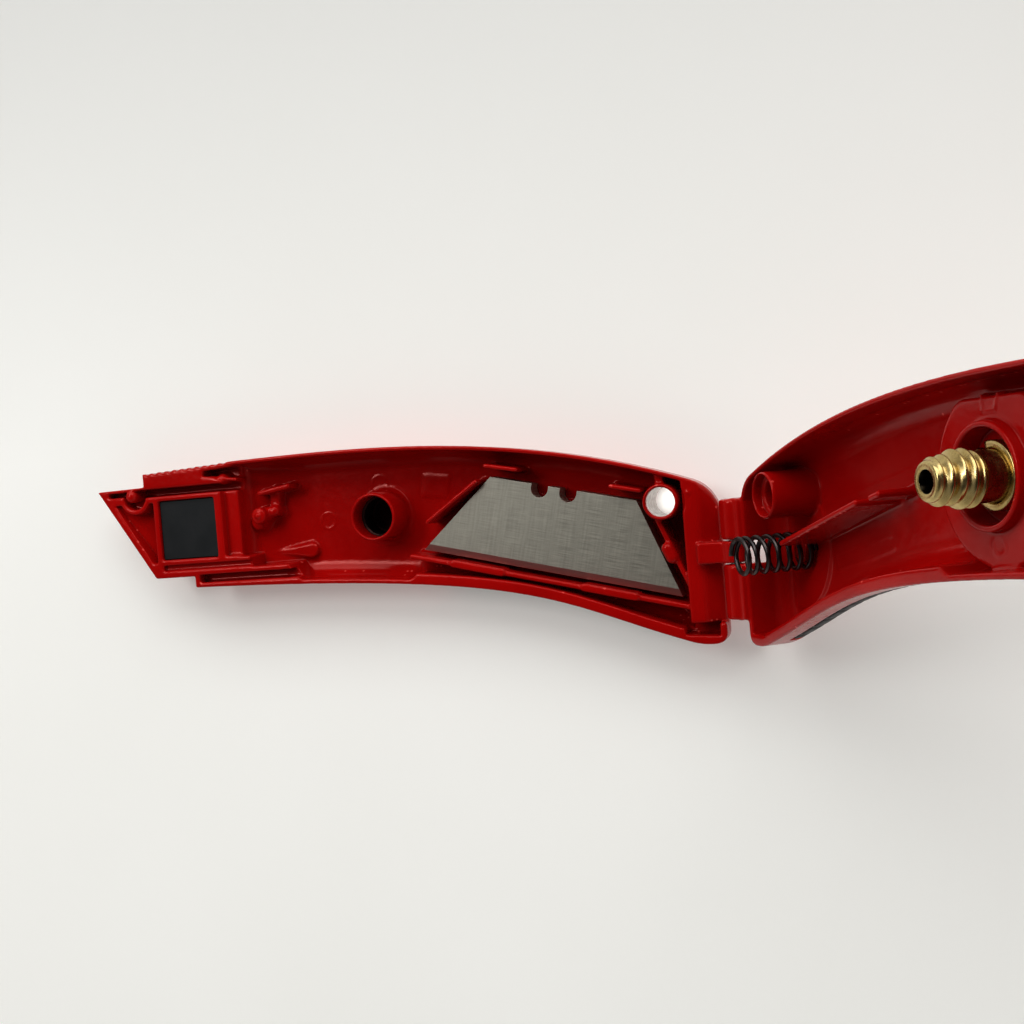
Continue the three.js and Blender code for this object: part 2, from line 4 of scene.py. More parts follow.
import bpy
import numpy as np
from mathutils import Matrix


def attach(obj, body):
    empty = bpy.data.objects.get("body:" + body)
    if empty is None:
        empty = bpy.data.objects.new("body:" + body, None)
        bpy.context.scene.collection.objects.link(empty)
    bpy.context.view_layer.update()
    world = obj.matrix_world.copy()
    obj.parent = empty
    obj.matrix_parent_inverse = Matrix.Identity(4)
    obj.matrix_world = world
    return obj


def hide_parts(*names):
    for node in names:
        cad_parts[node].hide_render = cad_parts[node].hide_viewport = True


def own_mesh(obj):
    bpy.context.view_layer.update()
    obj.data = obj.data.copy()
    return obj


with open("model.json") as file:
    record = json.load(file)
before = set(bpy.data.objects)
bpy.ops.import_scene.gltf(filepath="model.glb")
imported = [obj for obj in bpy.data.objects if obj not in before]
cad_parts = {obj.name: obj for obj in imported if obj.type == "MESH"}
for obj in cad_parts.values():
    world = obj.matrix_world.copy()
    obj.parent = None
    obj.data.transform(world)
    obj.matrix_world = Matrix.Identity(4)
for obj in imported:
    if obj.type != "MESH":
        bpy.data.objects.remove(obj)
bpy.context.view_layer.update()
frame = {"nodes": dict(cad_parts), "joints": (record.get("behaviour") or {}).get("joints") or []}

import openvdb
from mathutils import Matrix, Vector

MM = 0.001
CELL = 0.25      # grid step of the cast halves

# ---- body halves, as in the CAD part
HALF_DEPTH = 11.5
NOSE_DEPTH = 6.5
BASE_WALL = 2.0
LID_WALL = 1.6
SPINE_WALL = 0.95
BELLY_RIM = 2.5
BELLY_RIM_FRONT = 1.1
RIM_STEP = 73.5
PARTING_GAP = 0.15
BUTT = 3.1
CORNER = 6.0
NOSE_CORNER = 3.0
TAPER_START = 100.0
TAPER_END = 132.0
NOSE_TIP = 155.4
CAVITY_FRONT = 117.7
PAD = {"from": 117.8, "to": 142.3, "top": 29.9, "foot": 26.6}
CHIN = (140.9, 4.1)
SKIRT = 130.2
SPINE_CURVE = ((8.5, 17.7), (48.4, 32.7), (88.8, 31.4), (117.8, 31.0))
BELLY_CURVE = ((10.3, -17.15), (41.3, -7.1), (40.2, 0.0), (130.2, 1.4))

# ---- hinge, screw and the rest
KNUCKLE_R = 2.75
PIN_BORE_R = 1.2
BASE_KNUCKLE = (-0.4, 4.1)
LID_KNUCKLES = ((-12.4, -0.75), (4.45, 13.0))
SCREW = (82.4, 15.05)
SCREW_PITCH = 1.75
SCREW_TRAVEL = 1.75
SCREW_TIP = -7.5
PILOT_R = 3.9
THREAD_R = 4.6
NECK_R = 4.0
THREAD_END_W = -0.4
CLIP_W = (3.8, 6.0)
CLIP_R = (4.2, 5.4)
CLIP_GAP_TURN = 25.0
KNOB_R = 10.0
KNOB_H = 5.0
KNOB_RECESS_R = 11.0
KNOB_RECESS_W = 7.9
KNOB_TEETH = 30
BORE_RIM_R = 4.8       # wide mouth of the base half's screw bore
BORE_RIM_W = 5.4
BORE_R = 4.1
BORE_END_W = 10.3
LANYARD = (15.13, 13.41)
LANYARD_R = 3.15
LANYARD_TUBE_R = 3.87  # the base's tube, which goes into the lid's socket
LANYARD_SOCKET_R = 4.15
SPRING = {"a": 14.0, "h": 1.7, "r": 3.5, "wire": 0.5, "turns": 7.5, "from": 9.2, "to": -6.0}
BLADE = {"long": 60.6, "short": 34.0, "height": 19.0, "thick": 0.6, "pitch": 0.65, "count": 8,
         "top": 3.66, "bevel": 1.5}
BLADE_TILT = math.atan2(14.09, 58.93)
BLADE_MIDDLE = (42.1, -0.485)
NOTCHES = (-1.5, 5.15)
NOTCH_R = 1.95
NOTCH_SIDE = 0.9
MAGNET = {"a": (123.5, 138.5), "h": (8.7, 22.7), "w": (1.0, 4.5)}
GRIP_THICK = 0.7
GRIP_GAP = 0.3
GRIP_EDGE_W = 4.5
GRIP_RIB_PITCH = 6.0
GRIP_GROOVE = 0.3
PIN_SOCKET = (146.1, 24.6)
PIN_POCKET = (145.1, 24.3)
PIN_R = 1.6
RING_MARK_R = 1.9      # ejector pin marks on the base's floor

# ---- where the halves stand, from the joints
JOINTS = {j["name"]: j for j in frame["joints"]}
HINGE = Vector(JOINTS["lid_swing"]["pos_m"]) / MM
OPEN_ANGLE = math.radians(-JOINTS["lid_swing"]["range_deg"][0])


def base_place(points):
    """Blueprint points (n, 3) to the part's frame in mm, for the half that lies on its back."""
    a, h, w = points[:, 0], points[:, 1], points[:, 2]
    return np.stack([HINGE.x - a, HINGE.y + h, HINGE.z - w], axis=1)


def lid_place(points):
    """The same for the half that stands open, which is the mirrored blueprint."""
    a, h, w = points[:, 0], points[:, 1], points[:, 2]
    c, s = math.cos(OPEN_ANGLE), math.sin(OPEN_ANGLE)
    return np.stack([HINGE.x - a * c + w * s, HINGE.y + h, HINGE.z + a * s + w * c], axis=1)


LID_MIRRORS = True      # lid_place turns outward faces inward


# ---- signed distances
def bezier(curve, t):
    p0, p1, p2, p3 = [np.array(p) for p in curve]
    t = np.asarray(t)[..., None]
    return (1 - t) ** 3 * p0 + 3 * t * (1 - t) ** 2 * p1 + 3 * t * t * (1 - t) * p2 + t ** 3 * p3


def quadratic(p0, p1, p2, steps=6):
    t = np.linspace(0, 1, steps + 1)[:, None]
    return (1 - t) ** 2 * np.array(p0) + 2 * t * (1 - t) * np.array(p1) + t * t * np.array(p2)


CURVE_T = np.linspace(0, 1, 200)
SPINE_POINTS = bezier(SPINE_CURVE, CURVE_T)
BELLY_POINTS = bezier(BELLY_CURVE, CURVE_T)


def spine_at(a):
    on_curve = np.interp(a, SPINE_POINTS[:, 0], SPINE_POINTS[:, 1], left=17.8)
    on_pad = np.interp(a, [PAD["from"], PAD["to"]], [31.0, PAD["top"]])
    return np.where(a < PAD["from"], on_curve, np.where(a < PAD["to"], on_pad, PAD["foot"]))


def belly_at(a):
    on_curve = np.interp(a, BELLY_POINTS[:, 0], BELLY_POINTS[:, 1], left=-17.8)
    return np.where(a < SKIRT, on_curve, CHIN[1])


def smoothstep(x, low, high):
    t = np.clip((x - low) / (high - low), 0, 1)
    return t * t * (3 - 2 * t)


def depth_at(a):
    """Depth of the flat back, which sinks towards the slim nose."""
    return HALF_DEPTH + (NOSE_DEPTH - HALF_DEPTH) * smoothstep(a, TAPER_START, TAPER_END)


def corner_at(a):
    return CORNER + (NOSE_CORNER - CORNER) * smoothstep(a, TAPER_START, TAPER_END)


def body_outline():
    butt_notch = quadratic((BUTT, 11.2), (4.6, 16.2), (8.5, 17.7))
    spine = bezier(SPINE_CURVE, np.linspace(0, 1, 28))
    pad_and_nose = [(PAD["to"], PAD["top"]), (PAD["to"], PAD["foot"]), (NOSE_TIP, 26.4), CHIN,
                    (SKIRT, CHIN[1]), (SKIRT, 1.4)]
    belly = bezier(BELLY_CURVE, np.linspace(1, 0, 28))
    butt_corner = quadratic((10.3, -17.15), (7.8, -17.8), (5.4, -17.6))
    butt_end = quadratic((5.4, -17.6), (BUTT, -17.3), (BUTT, -15.2))
    return np.concatenate([butt_notch, spine[1:], pad_and_nose, belly[1:], butt_corner[1:], butt_end[1:]])


def polygon_distance(points, a, h):
    """Signed distance in plan from a closed polygon, negative inside."""
    points = np.asarray(points, dtype=np.float32)
    nearest = np.full(a.shape, 1e9, dtype=np.float32)
    inside = np.zeros(a.shape, dtype=bool)
    for p, q in zip(points, np.roll(points, -1, axis=0)):
        edge = q - p
        square = float(edge @ edge)
        if square < 1e-12:
            continue
        da, dh = a - p[0], h - p[1]
        t = np.clip((da * edge[0] + dh * edge[1]) / square, 0, 1)
        nearest = np.minimum(nearest, (da - t * edge[0]) ** 2 + (dh - t * edge[1]) ** 2)
        crosses = (p[1] > h) != (q[1] > h)
        if abs(edge[1]) > 1e-9:
            inside ^= crosses & (a < p[0] + edge[0] * (h - p[1]) / edge[1])
    return np.where(inside, -1, 1) * np.sqrt(nearest)


def plan_distance(outline, a, h):
    """The same for the (n, 1, 1) and (1, n, 1) arrays that a shape is given."""
    flat_a, flat_h = np.broadcast_arrays(a[:, :, 0], h[:, :, 0])
    return polygon_distance(outline, flat_a, flat_h)[:, :, None]


def smooth_min(p, q, k):
    if k <= 0:
        return np.minimum(p, q)
    t = np.clip(0.5 + 0.5 * (q - p) / k, 0, 1)
    return q + (p - q) * t - k * t * (1 - t)


def smooth_max(p, q, k):
    return -smooth_min(-p, -q, k)


def rounded_corner(p, q, r):
    """Both p and q have to be negative: their common edge is rounded by r."""
    p, q = p + r, q + r
    outside = np.sqrt(np.maximum(p, 0) ** 2 + np.maximum(q, 0) ** 2)
    return np.minimum(np.maximum(p, q), 0) + outside - r


class Field:
    """Signed distance of one casting on a regular (a, h, w) grid."""

    def __init__(self, low, high, cell=CELL):
        self.cell = cell
        self.low = np.array(low, dtype=float)
        self.axes = [np.arange(lo, hi + cell, cell, dtype=np.float32) for lo, hi in zip(low, high)]
        self.a = self.axes[0][:, None, None]
        self.h = self.axes[1][None, :, None]
        self.w = self.axes[2][None, None, :]
        self.value = None
        self.outer = None

    def plan_grid(self):
        return np.meshgrid(self.axes[0], self.axes[1], indexing="ij")

    def window(self, low, high, margin):
        """The part of the grid round a shape: its slices and its coordinates."""
        slices = []
        for axis, lo, hi in zip(self.axes, low, high):
            i = int(np.searchsorted(axis, lo - margin))
            j = int(np.searchsorted(axis, hi + margin))
            slices.append(slice(max(0, i), min(len(axis), j + 1)))
        sa, sh, sw = slices
        return (sa, sh, sw), self.a[sa], self.h[:, sh], self.w[:, :, sw]

    def add(self, low, high, shape, fillet=0.6, limited=True):
        """Adds a shape, kept inside the body's skin.  An unlimited one may stand out of the open side."""
        where, a, h, w = self.window(low, high, 2.0 + fillet)
        skin = self.outer[where] - (0.0 if limited else 3 * np.maximum(0, 1.5 - w))
        before = self.value[where]
        merged = smooth_min(before, np.maximum(shape(a, h, w), skin), fillet)
        self.value[where] = np.maximum(merged, np.minimum(before, skin))

    def add_free(self, low, high, shape, fillet):
        """Adds a shape that may stand outside the body, such as a hinge knuckle."""
        where, a, h, w = self.window(low, high, 2.0 + fillet)
        self.value[where] = smooth_min(self.value[where], shape(a, h, w), fillet)

    def remove(self, low, high, shape, fillet=0.3):
        where, a, h, w = self.window(low, high, 2.0 + fillet)
        self.value[where] = smooth_max(self.value[where], -shape(a, h, w), fillet)

    def mesh(self, name, place, mirrors=False):
        band = 3 * self.cell
        grid = openvdb.FloatGrid(background=band)
        grid.copyFromArray(np.clip(self.value, -band, band).astype(np.float32))
        points, quads = grid.convertToQuads(isovalue=0)
        points = place(relaxed(points, quads) * self.cell + self.low)
        return mesh_object(name, points, quads[:, ::-1] if mirrors else quads)


def relaxed(points, quads, rounds=5, pull=0.4):
    """Evens out stray vertices: each moves part of the way to the mean of its neighbours."""
    ends = np.concatenate([quads[:, [i, (i + 1) % 4]] for i in range(4)])
    ends = np.concatenate([ends, ends[:, ::-1]]).astype(np.int64)
    count = np.bincount(ends[:, 0], minlength=len(points))[:, None]
    for _ in range(rounds):
        total = [np.bincount(ends[:, 0], points[ends[:, 1], k], minlength=len(points)) for k in range(3)]
        points = points + pull * (np.stack(total, axis=1) / count - points)
    return points


def mesh_object(name, points_mm, faces, smooth=True):
    """A mesh from points in mm in the part's frame, with its faces turned outwards."""
    mesh = bpy.data.meshes.new(name)
    points = np.asarray(points_mm, dtype=float) * MM
    mesh.from_pydata(points.tolist(), [], [list(map(int, f)) for f in faces])
    mesh.validate()
    mesh.update()
    piece = bpy.data.objects.new(name, mesh)
    bpy.context.scene.collection.objects.link(piece)
    mesh.polygons.foreach_set("use_smooth", [smooth] * len(mesh.polygons))
    return piece


# ---- shapes: each returns (low, high, distance function)
def upright(outline, w0, w1, rounding=0.3, draft=0.02):
    """A plan outline standing from depth w0 down to w1, slightly wider at its foot."""
    outline = np.asarray(outline, dtype=float)
    low = (*outline.min(axis=0), w0)
    high = (*outline.max(axis=0), w1)

    def shape(a, h, w):
        side = plan_distance(outline, a, h) - draft * (w - w0)
        return np.maximum(rounded_corner(side, w0 - w, rounding), w - w1)
    return low, high, shape


def wall(start, end, thick, w0, w1, rounding=0.3, draft=0.02):
    """A straight rib with rounded ends between two plan points."""
    start, end = np.array(start), np.array(end)
    low = (*(np.minimum(start, end) - thick / 2), w0)
    high = (*(np.maximum(start, end) + thick / 2), w1)
    edge = end - start

    def shape(a, h, w):
        t = np.clip(((a - start[0]) * edge[0] + (h - start[1]) * edge[1]) / float(edge @ edge), 0, 1)
        across = np.sqrt((a - start[0] - t * edge[0]) ** 2 + (h - start[1] - t * edge[1]) ** 2)
        side = across - thick / 2 - draft * (w - w0)
        return np.maximum(rounded_corner(side, w0 - w, rounding), w - w1)
    return low, high, shape


def post(centre, r, w0, w1, rounding=0.3, draft=0.02):
    low = (centre[0] - r, centre[1] - r, w0)
    high = (centre[0] + r, centre[1] + r, w1)

    def shape(a, h, w):
        radius = np.sqrt((a - centre[0]) ** 2 + (h - centre[1]) ** 2)
        return np.maximum(rounded_corner(radius - r - draft * (w - w0), w0 - w, rounding), w - w1)
    return low, high, shape


def hole(centre, r, w0, w1):
    """Plain round hole for cutting."""
    return post(centre, r, w0, w1, rounding=0.0, draft=0.0)


def pocket(a0, a1, h0, h1, w1, rounding=0.4):
    """Rectangular pocket sunk from the parting plane to depth w1."""
    low, high = (a0, h0, -2), (a1, h1, w1)

    def shape(a, h, w):
        p = np.maximum(a0 - a, a - a1)
        q = np.maximum(h0 - h, h - h1)
        plan = rounded_corner(p, q, rounding) + 0 * w
        return rounded_corner(plan, w - w1, rounding)
    return low, high, shape


def hinge_rod(r, h0, h1, rounding=0.25):
    low, high = (-r, h0, -r), (r, h1, r)

    def shape(a, h, w):
        radius = np.sqrt(a * a + w * w) + 0 * h
        return rounded_corner(radius - r, np.maximum(h0 - h, h - h1) + 0 * a, rounding)
    return low, high, shape


def box(a0, a1, h0, h1, w0, w1, rounding=0.2):
    low, high = (a0, h0, w0), (a1, h1, w1)

    def shape(a, h, w):
        p = np.maximum(a0 - a, a - a1) + 0 * h + 0 * w
        q = np.maximum(np.maximum(h0 - h, h - h1), np.maximum(w0 - w, w - w1)) + 0 * a
        return rounded_corner(p, q, rounding)
    return low, high, shape


def bump(centre, r, top, foot):
    """A post with a domed top."""
    low = (centre[0] - r, centre[1] - r, top)
    high = (centre[0] + r, centre[1] + r, foot)

    def shape(a, h, w):
        radius2 = (a - centre[0]) ** 2 + (h - centre[1]) ** 2
        ball = np.sqrt(radius2 + np.minimum(w - top - r, 0) ** 2) - r
        return np.maximum(ball, w - foot)
    return low, high, shape


def ring_mark(centre, r, floor_w, width=0.35, height=0.16):
    """Faint raised ring that an ejector pin leaves on a cast floor."""
    low = (centre[0] - r - width, centre[1] - r - width, floor_w - height - 0.2)
    high = (centre[0] + r + width, centre[1] + r + width, floor_w + 0.5)

    def shape(a, h, w):
        radius = np.sqrt((a - centre[0]) ** 2 + (h - centre[1]) ** 2)
        return np.sqrt((radius - r) ** 2 + (w - floor_w) ** 2) - np.maximum(width / 2, height)
    return low, high, shape


# ---- one cast half
def start_half():
    """Field of one solid half, cut off at the parting plane, with its thumb rest."""
    field = Field((-4, -21, -2.5), (158, 34, 13))
    plan_a, plan_h = field.plan_grid()
    plan = polygon_distance(body_outline(), plan_a, plan_h)[:, :, None]
    depth = depth_at(plan_a)[:, :, None]
    corner = corner_at(plan_a)[:, :, None]
    closed = rounded_corner(plan, field.w - depth, corner).astype(np.float32)
    field.outer = closed
    field.value = smooth_max(closed, PARTING_GAP - field.w, 0.25)
    a = PAD["from"] + 2.2
    while a < PAD["to"] - 1:
        field.remove(*hole((a, float(spine_at(a)) + 0.45), 0.9, -2, 13), fillet=0.35)
        a += 2.1
    return field


def hollow(field, from_a, back_wall):
    """Inside of the handle, whose belly rim is broad at the palm and narrow further on."""
    a = np.arange(from_a, CAVITY_FRONT + 0.01, 1.0)
    a = np.append(a, CAVITY_FRONT)
    top = np.stack([a, spine_at(a) - SPINE_WALL], axis=1)
    behind_step = 1 - smoothstep(a, RIM_STEP - 0.8, RIM_STEP + 0.8)
    rim = BELLY_RIM_FRONT + (BELLY_RIM - BELLY_RIM_FRONT) * behind_step
    bottom = np.stack([a, belly_at(a) + rim], axis=1)[::-1]
    plan_a, plan_h = field.plan_grid()
    plan = polygon_distance(np.concatenate([top, bottom]), plan_a, plan_h)[:, :, None]
    depth = (depth_at(plan_a) - back_wall)[:, :, None]
    corner = (corner_at(plan_a) - back_wall)[:, :, None]
    inside = rounded_corner(plan, field.w - depth, corner)
    inside = np.maximum(inside, field.outer + 0.85)
    field.value = smooth_max(field.value, -inside, 0.3).astype(np.float32)


def grip_region(shrink):
    curve_1 = ((13 + shrink, -9), (14 + shrink, -3.5 - shrink), (34, 5 - shrink), (52, 9 - shrink))
    curve_2 = ((52, 9 - shrink), (60, 10.5 - shrink), (66 - shrink, 9 - shrink), (68 - shrink, 2))
    t = np.linspace(0, 1, 12)
    return np.concatenate([[(13 + shrink, -30)], bezier(curve_1, t), bezier(curve_2, t)[1:],
                           [(68 - shrink, -30)]])


def grip_pocket(field):
    plan_a, plan_h = field.plan_grid()
    plan = polygon_distance(grip_region(0), plan_a, plan_h)[:, :, None]
    sunk = np.maximum(np.maximum(plan, GRIP_EDGE_W - field.w), -(field.outer + GRIP_THICK + GRIP_GAP))
    field.value = smooth_max(field.value, -sunk, 0.15).astype(np.float32)


def helical_thread(field, centre, bore, w0, w1, depth=0.35):
    """Coarse internal thread cut into the wall of a bore."""
    low = (centre[0] - bore - depth, centre[1] - bore - depth, w0)
    high = (centre[0] + bore + depth, centre[1] + bore + depth, w1)

    def shape(a, h, w):
        radius = np.sqrt((a - centre[0]) ** 2 + (h - centre[1]) ** 2)
        turn = np.arctan2(h - centre[1], a - centre[0]) / (2 * math.pi)
        wave = 0.5 + 0.5 * np.cos(2 * math.pi * (w / SCREW_PITCH + turn))
        return np.maximum(radius - bore - depth * wave, np.maximum(w0 - w, w - w1)) * 0.8
    field.remove(low, high, shape, fillet=0.1)


def base_body():
    field = start_half()
    hollow(field, 10.7, BASE_WALL)
    floor_w = HALF_DEPTH - BASE_WALL
    foot = HALF_DEPTH
    # blade bay
    rest_w = BLADE["top"] + BLADE["count"] * BLADE["pitch"] + 0.05
    for start, end, thick, top_w, fillet in (
            ((73.9, 5.3), (10.8, -9.6), 1.1, 1.1, 0.6),
            ((63.9, 3.05), (52.6, 0.35), 1.7, 0.7, 0.3),
            ((33.8, -4.05), (22.5, -6.75), 1.7, 0.7, 0.3),
            ((69.4, 12.9), (57.1, 21.1), 0.9, 1.0, 0.6),
            ((54.5, 24.5), (47.4, 23.0), 0.9, 1.0, 0.6),
            ((26.2, 17.65), (19.9, 16.15), 0.9, 1.0, 0.6),
            ((61.3, 8.8), (26.7, 0.6), 1.4, rest_w, 0.6),
            ((49.3, 17.2), (26.7, 11.9), 1.4, rest_w, 0.6)):
        field.add(*wall(start, end, thick, top_w, foot), fillet=fillet)     # the last two carry the blades
    # posts, lug and rails ahead of the screw
    field.add(*post((113, 17.4), 1.9, 2.6, foot, rounding=0.5))
    field.add(*bump((113, 17.4), 0.9, 1.9, 4), fillet=0.2)
    field.add(*post((114.6, 15.8), 1.7, 5.2, foot, draft=0.3), fillet=0.8)
    field.add(*wall((113.2, 22.75), (105.4, 23.95), 1.2, 4.0, foot))
    field.add(*wall((109.9, 22.9), (110.3, 18.6), 2.6, 6.0, foot, rounding=0.5))
    field.add(*wall((109.9, 18.3), (112, 17.8), 2.6, 4.6, foot, rounding=1.0))
    field.add(*bump((111.3, 11.4), 0.8, floor_w - 0.6, foot), fillet=0.4)
    leaf = [(113.8, 8.3), (103, 6.3)]
    leaf += [(102.6 - 1.85 * math.sin(t), 8.1 - 1.85 * math.cos(t)) for t in np.linspace(0, math.pi, 9)]
    field.add(*upright(leaf, 8.2, foot, rounding=0.5), fillet=0.8)
    rail = [(100.6, 0), (104.9, 5.6), (114.8, 5.6), (114.8, 8.2), (118.2, 8.2), (118.2, 0)]
    field.add(*upright(rail, PARTING_GAP, foot), fillet=0.4)
    # butt end
    field.remove(*hole(LANYARD, 5.1, -2, 0.95), fillet=0.2)
    field.add(*post(LANYARD, LANYARD_TUBE_R, -0.8, foot, rounding=0.35), limited=False)
    field.add(*wall((15.35, 16.8), (15.6, 20.4), 1.8, 1.2, foot))
    field.add(*wall((16.4, 9.5), (9.2, -8.0), 1.1, 1.3, foot))
    field.add(*wall((14.7, 3.3), (13.8, 1.3), 2.7, 0.4, foot, rounding=1.2), fillet=0.4)
    field.add(*bump((9.0, 15.0), 0.8, -0.08, 3), fillet=0.3, limited=False)
    # screw boss
    field.add(*post(SCREW, 5.55, PARTING_GAP, foot, rounding=0.55, draft=0.03), fillet=1.6)
    field.remove(*hole(SCREW, BORE_RIM_R, -2, BORE_RIM_W), fillet=0.6)
    field.remove(*hole(SCREW, BORE_R, -2, BORE_END_W), fillet=0.3)
    helical_thread(field, SCREW, BORE_R, BORE_RIM_W + 0.2, BORE_END_W - 0.1)
    # nose
    for a0, a1, h0, h1, w1 in (
            (MAGNET["a"][0] - 0.2, MAGNET["a"][1] + 0.2, MAGNET["h"][0] - 0.2, MAGNET["h"][1] + 0.2,
             MAGNET["w"][1] + 0.2),
            (116.5, 121.3, 8.5, 24.4, 2.2),
            (117.0, 144.5, 24.1, 26.0, 5.0),
            (147.0, 152.4, 24.6, 25.7, 3.0),
            (104.5, 128.9, 2.5, 4.4, 3.2),
            (106.0, 138.6, 5.8, 7.2, 1.3)):
        field.remove(*pocket(a0, a1, h0, h1, w1))
    field.remove(*box(101.5, 106.5, 2.5, 4.4, -2, 3.2))
    pad_hollow = [(116, 24.5), (120.2, 25), (120.8, 26.6), (123, 27.6), (125.8, 28.0), (125.6, 29.2),
                  (116, 29.9)]
    field.remove(*sunk(pad_hollow, 4.8), fillet=0.4)
    field.add(*bump((121.2, 27.0), 1.3, 0.9, 5.5), fillet=0.5)
    field.add(*wall((124.2, 27.4), (117.6, 26.6), 0.8, 1.0, 5.5), fillet=0.5)
    field.remove(*nose_triangle(), fillet=0.35)
    field.remove(*pin_pocket(), fillet=0.35)
    field.add(*bump(PIN_SOCKET, PIN_R, -0.5, 4.5), fillet=0.15, limited=False)
    # hinge
    field.remove(*butt_slope(), fillet=0.9)
    butt_pocket = [(4.6, -13.0), (12, -13.0), (12, -15.4), (9.6, -15.6), (4.6, -15.9)]
    field.remove(*sunk(butt_pocket, 5.5), fillet=0.4)
    mark_patch = [(66.6, 17.6), (73.4, 18.6), (72.6, 24.2), (65.8, 23.2)]
    field.add(*upright(mark_patch, floor_w - 0.15, foot), fillet=0.1)
    h0, h1 = BASE_KNUCKLE
    field.add_free(*hinge_rod(KNUCKLE_R, h0, h1), fillet=0.2)
    field.add_free(*box(0, 8, h0, h1, -1.4, 2.6), fillet=0.4)
    field.remove(*hinge_rod(PIN_BORE_R, h0 - 1, h1 + 1, rounding=0.0), fillet=0.1)
    # through holes, last
    field.remove(*hole(LANYARD, LANYARD_R, -2, 14), fillet=0.5)
    grip_pocket(field)
    for centre in ((97.9, 14.8), (69.7, 20.7), (83.8, 22.6)):
        field.add(*ring_mark(centre, RING_MARK_R, floor_w), fillet=0.15)
    return field


def sunk(outline, w1, rounding=0.4):
    """A pocket of any plan outline, from above the parting plane down to depth w1."""
    outline = np.asarray(outline, dtype=float)
    low, high = (*outline.min(axis=0), -2), (*outline.max(axis=0), w1)

    def shape(a, h, w):
        return rounded_corner(plan_distance(outline, a, h), w - w1, rounding)
    return low, high, shape


def butt_slope():
    """Room for the lid's knuckles: the end wall falls away in a convex slope to the hinge."""
    low, high = (-5, -13, -4), (8, 19, 6)

    def shape(a, h, w):
        fall = 7.3 - a - 0.95 * np.maximum(w, 0) - 0.09 * np.maximum(w, 0) ** 2
        barrel = np.sqrt(a * a + w * w) - 3.05
        above = np.minimum(-fall * 0.72, barrel) + 0 * h
        return np.maximum(above, -13.0 - h)
    return low, high, shape


def nose_triangle():
    """Three-cornered pocket in the nose, with a sloping floor and a round rib about the pin pocket."""
    outline = [(150.6, 22.6), (141.4, 7.9), (140.1, 7.9), (140.1, 22.6)]
    low, high = (139, 7, -2), (152, 23, 4)

    def shape(a, h, w):
        plan = plan_distance(outline, a, h)
        floor = w - (4.6 - 3.4 * (a - 139) / 12)
        about_pin = 4.2 - np.sqrt((a - PIN_POCKET[0]) ** 2 + (h - PIN_POCKET[1]) ** 2)
        return np.maximum(rounded_corner(plan, floor + 0 * h, 0.3), about_pin + 0 * w)
    return low, high, shape


def pin_pocket():
    low, high = (141, 20, -2), (149, 26, 3.6)

    def shape(a, h, w):
        radius = np.sqrt((a - PIN_POCKET[0]) ** 2 + (h - PIN_POCKET[1]) ** 2) - 3.0
        walls = np.maximum(h - 25.8, np.maximum(140 - a, a - 150))
        return rounded_corner(np.maximum(radius, walls) + 0 * w, w - 3.6 + 0 * a, 0.3)
    return low, high, shape


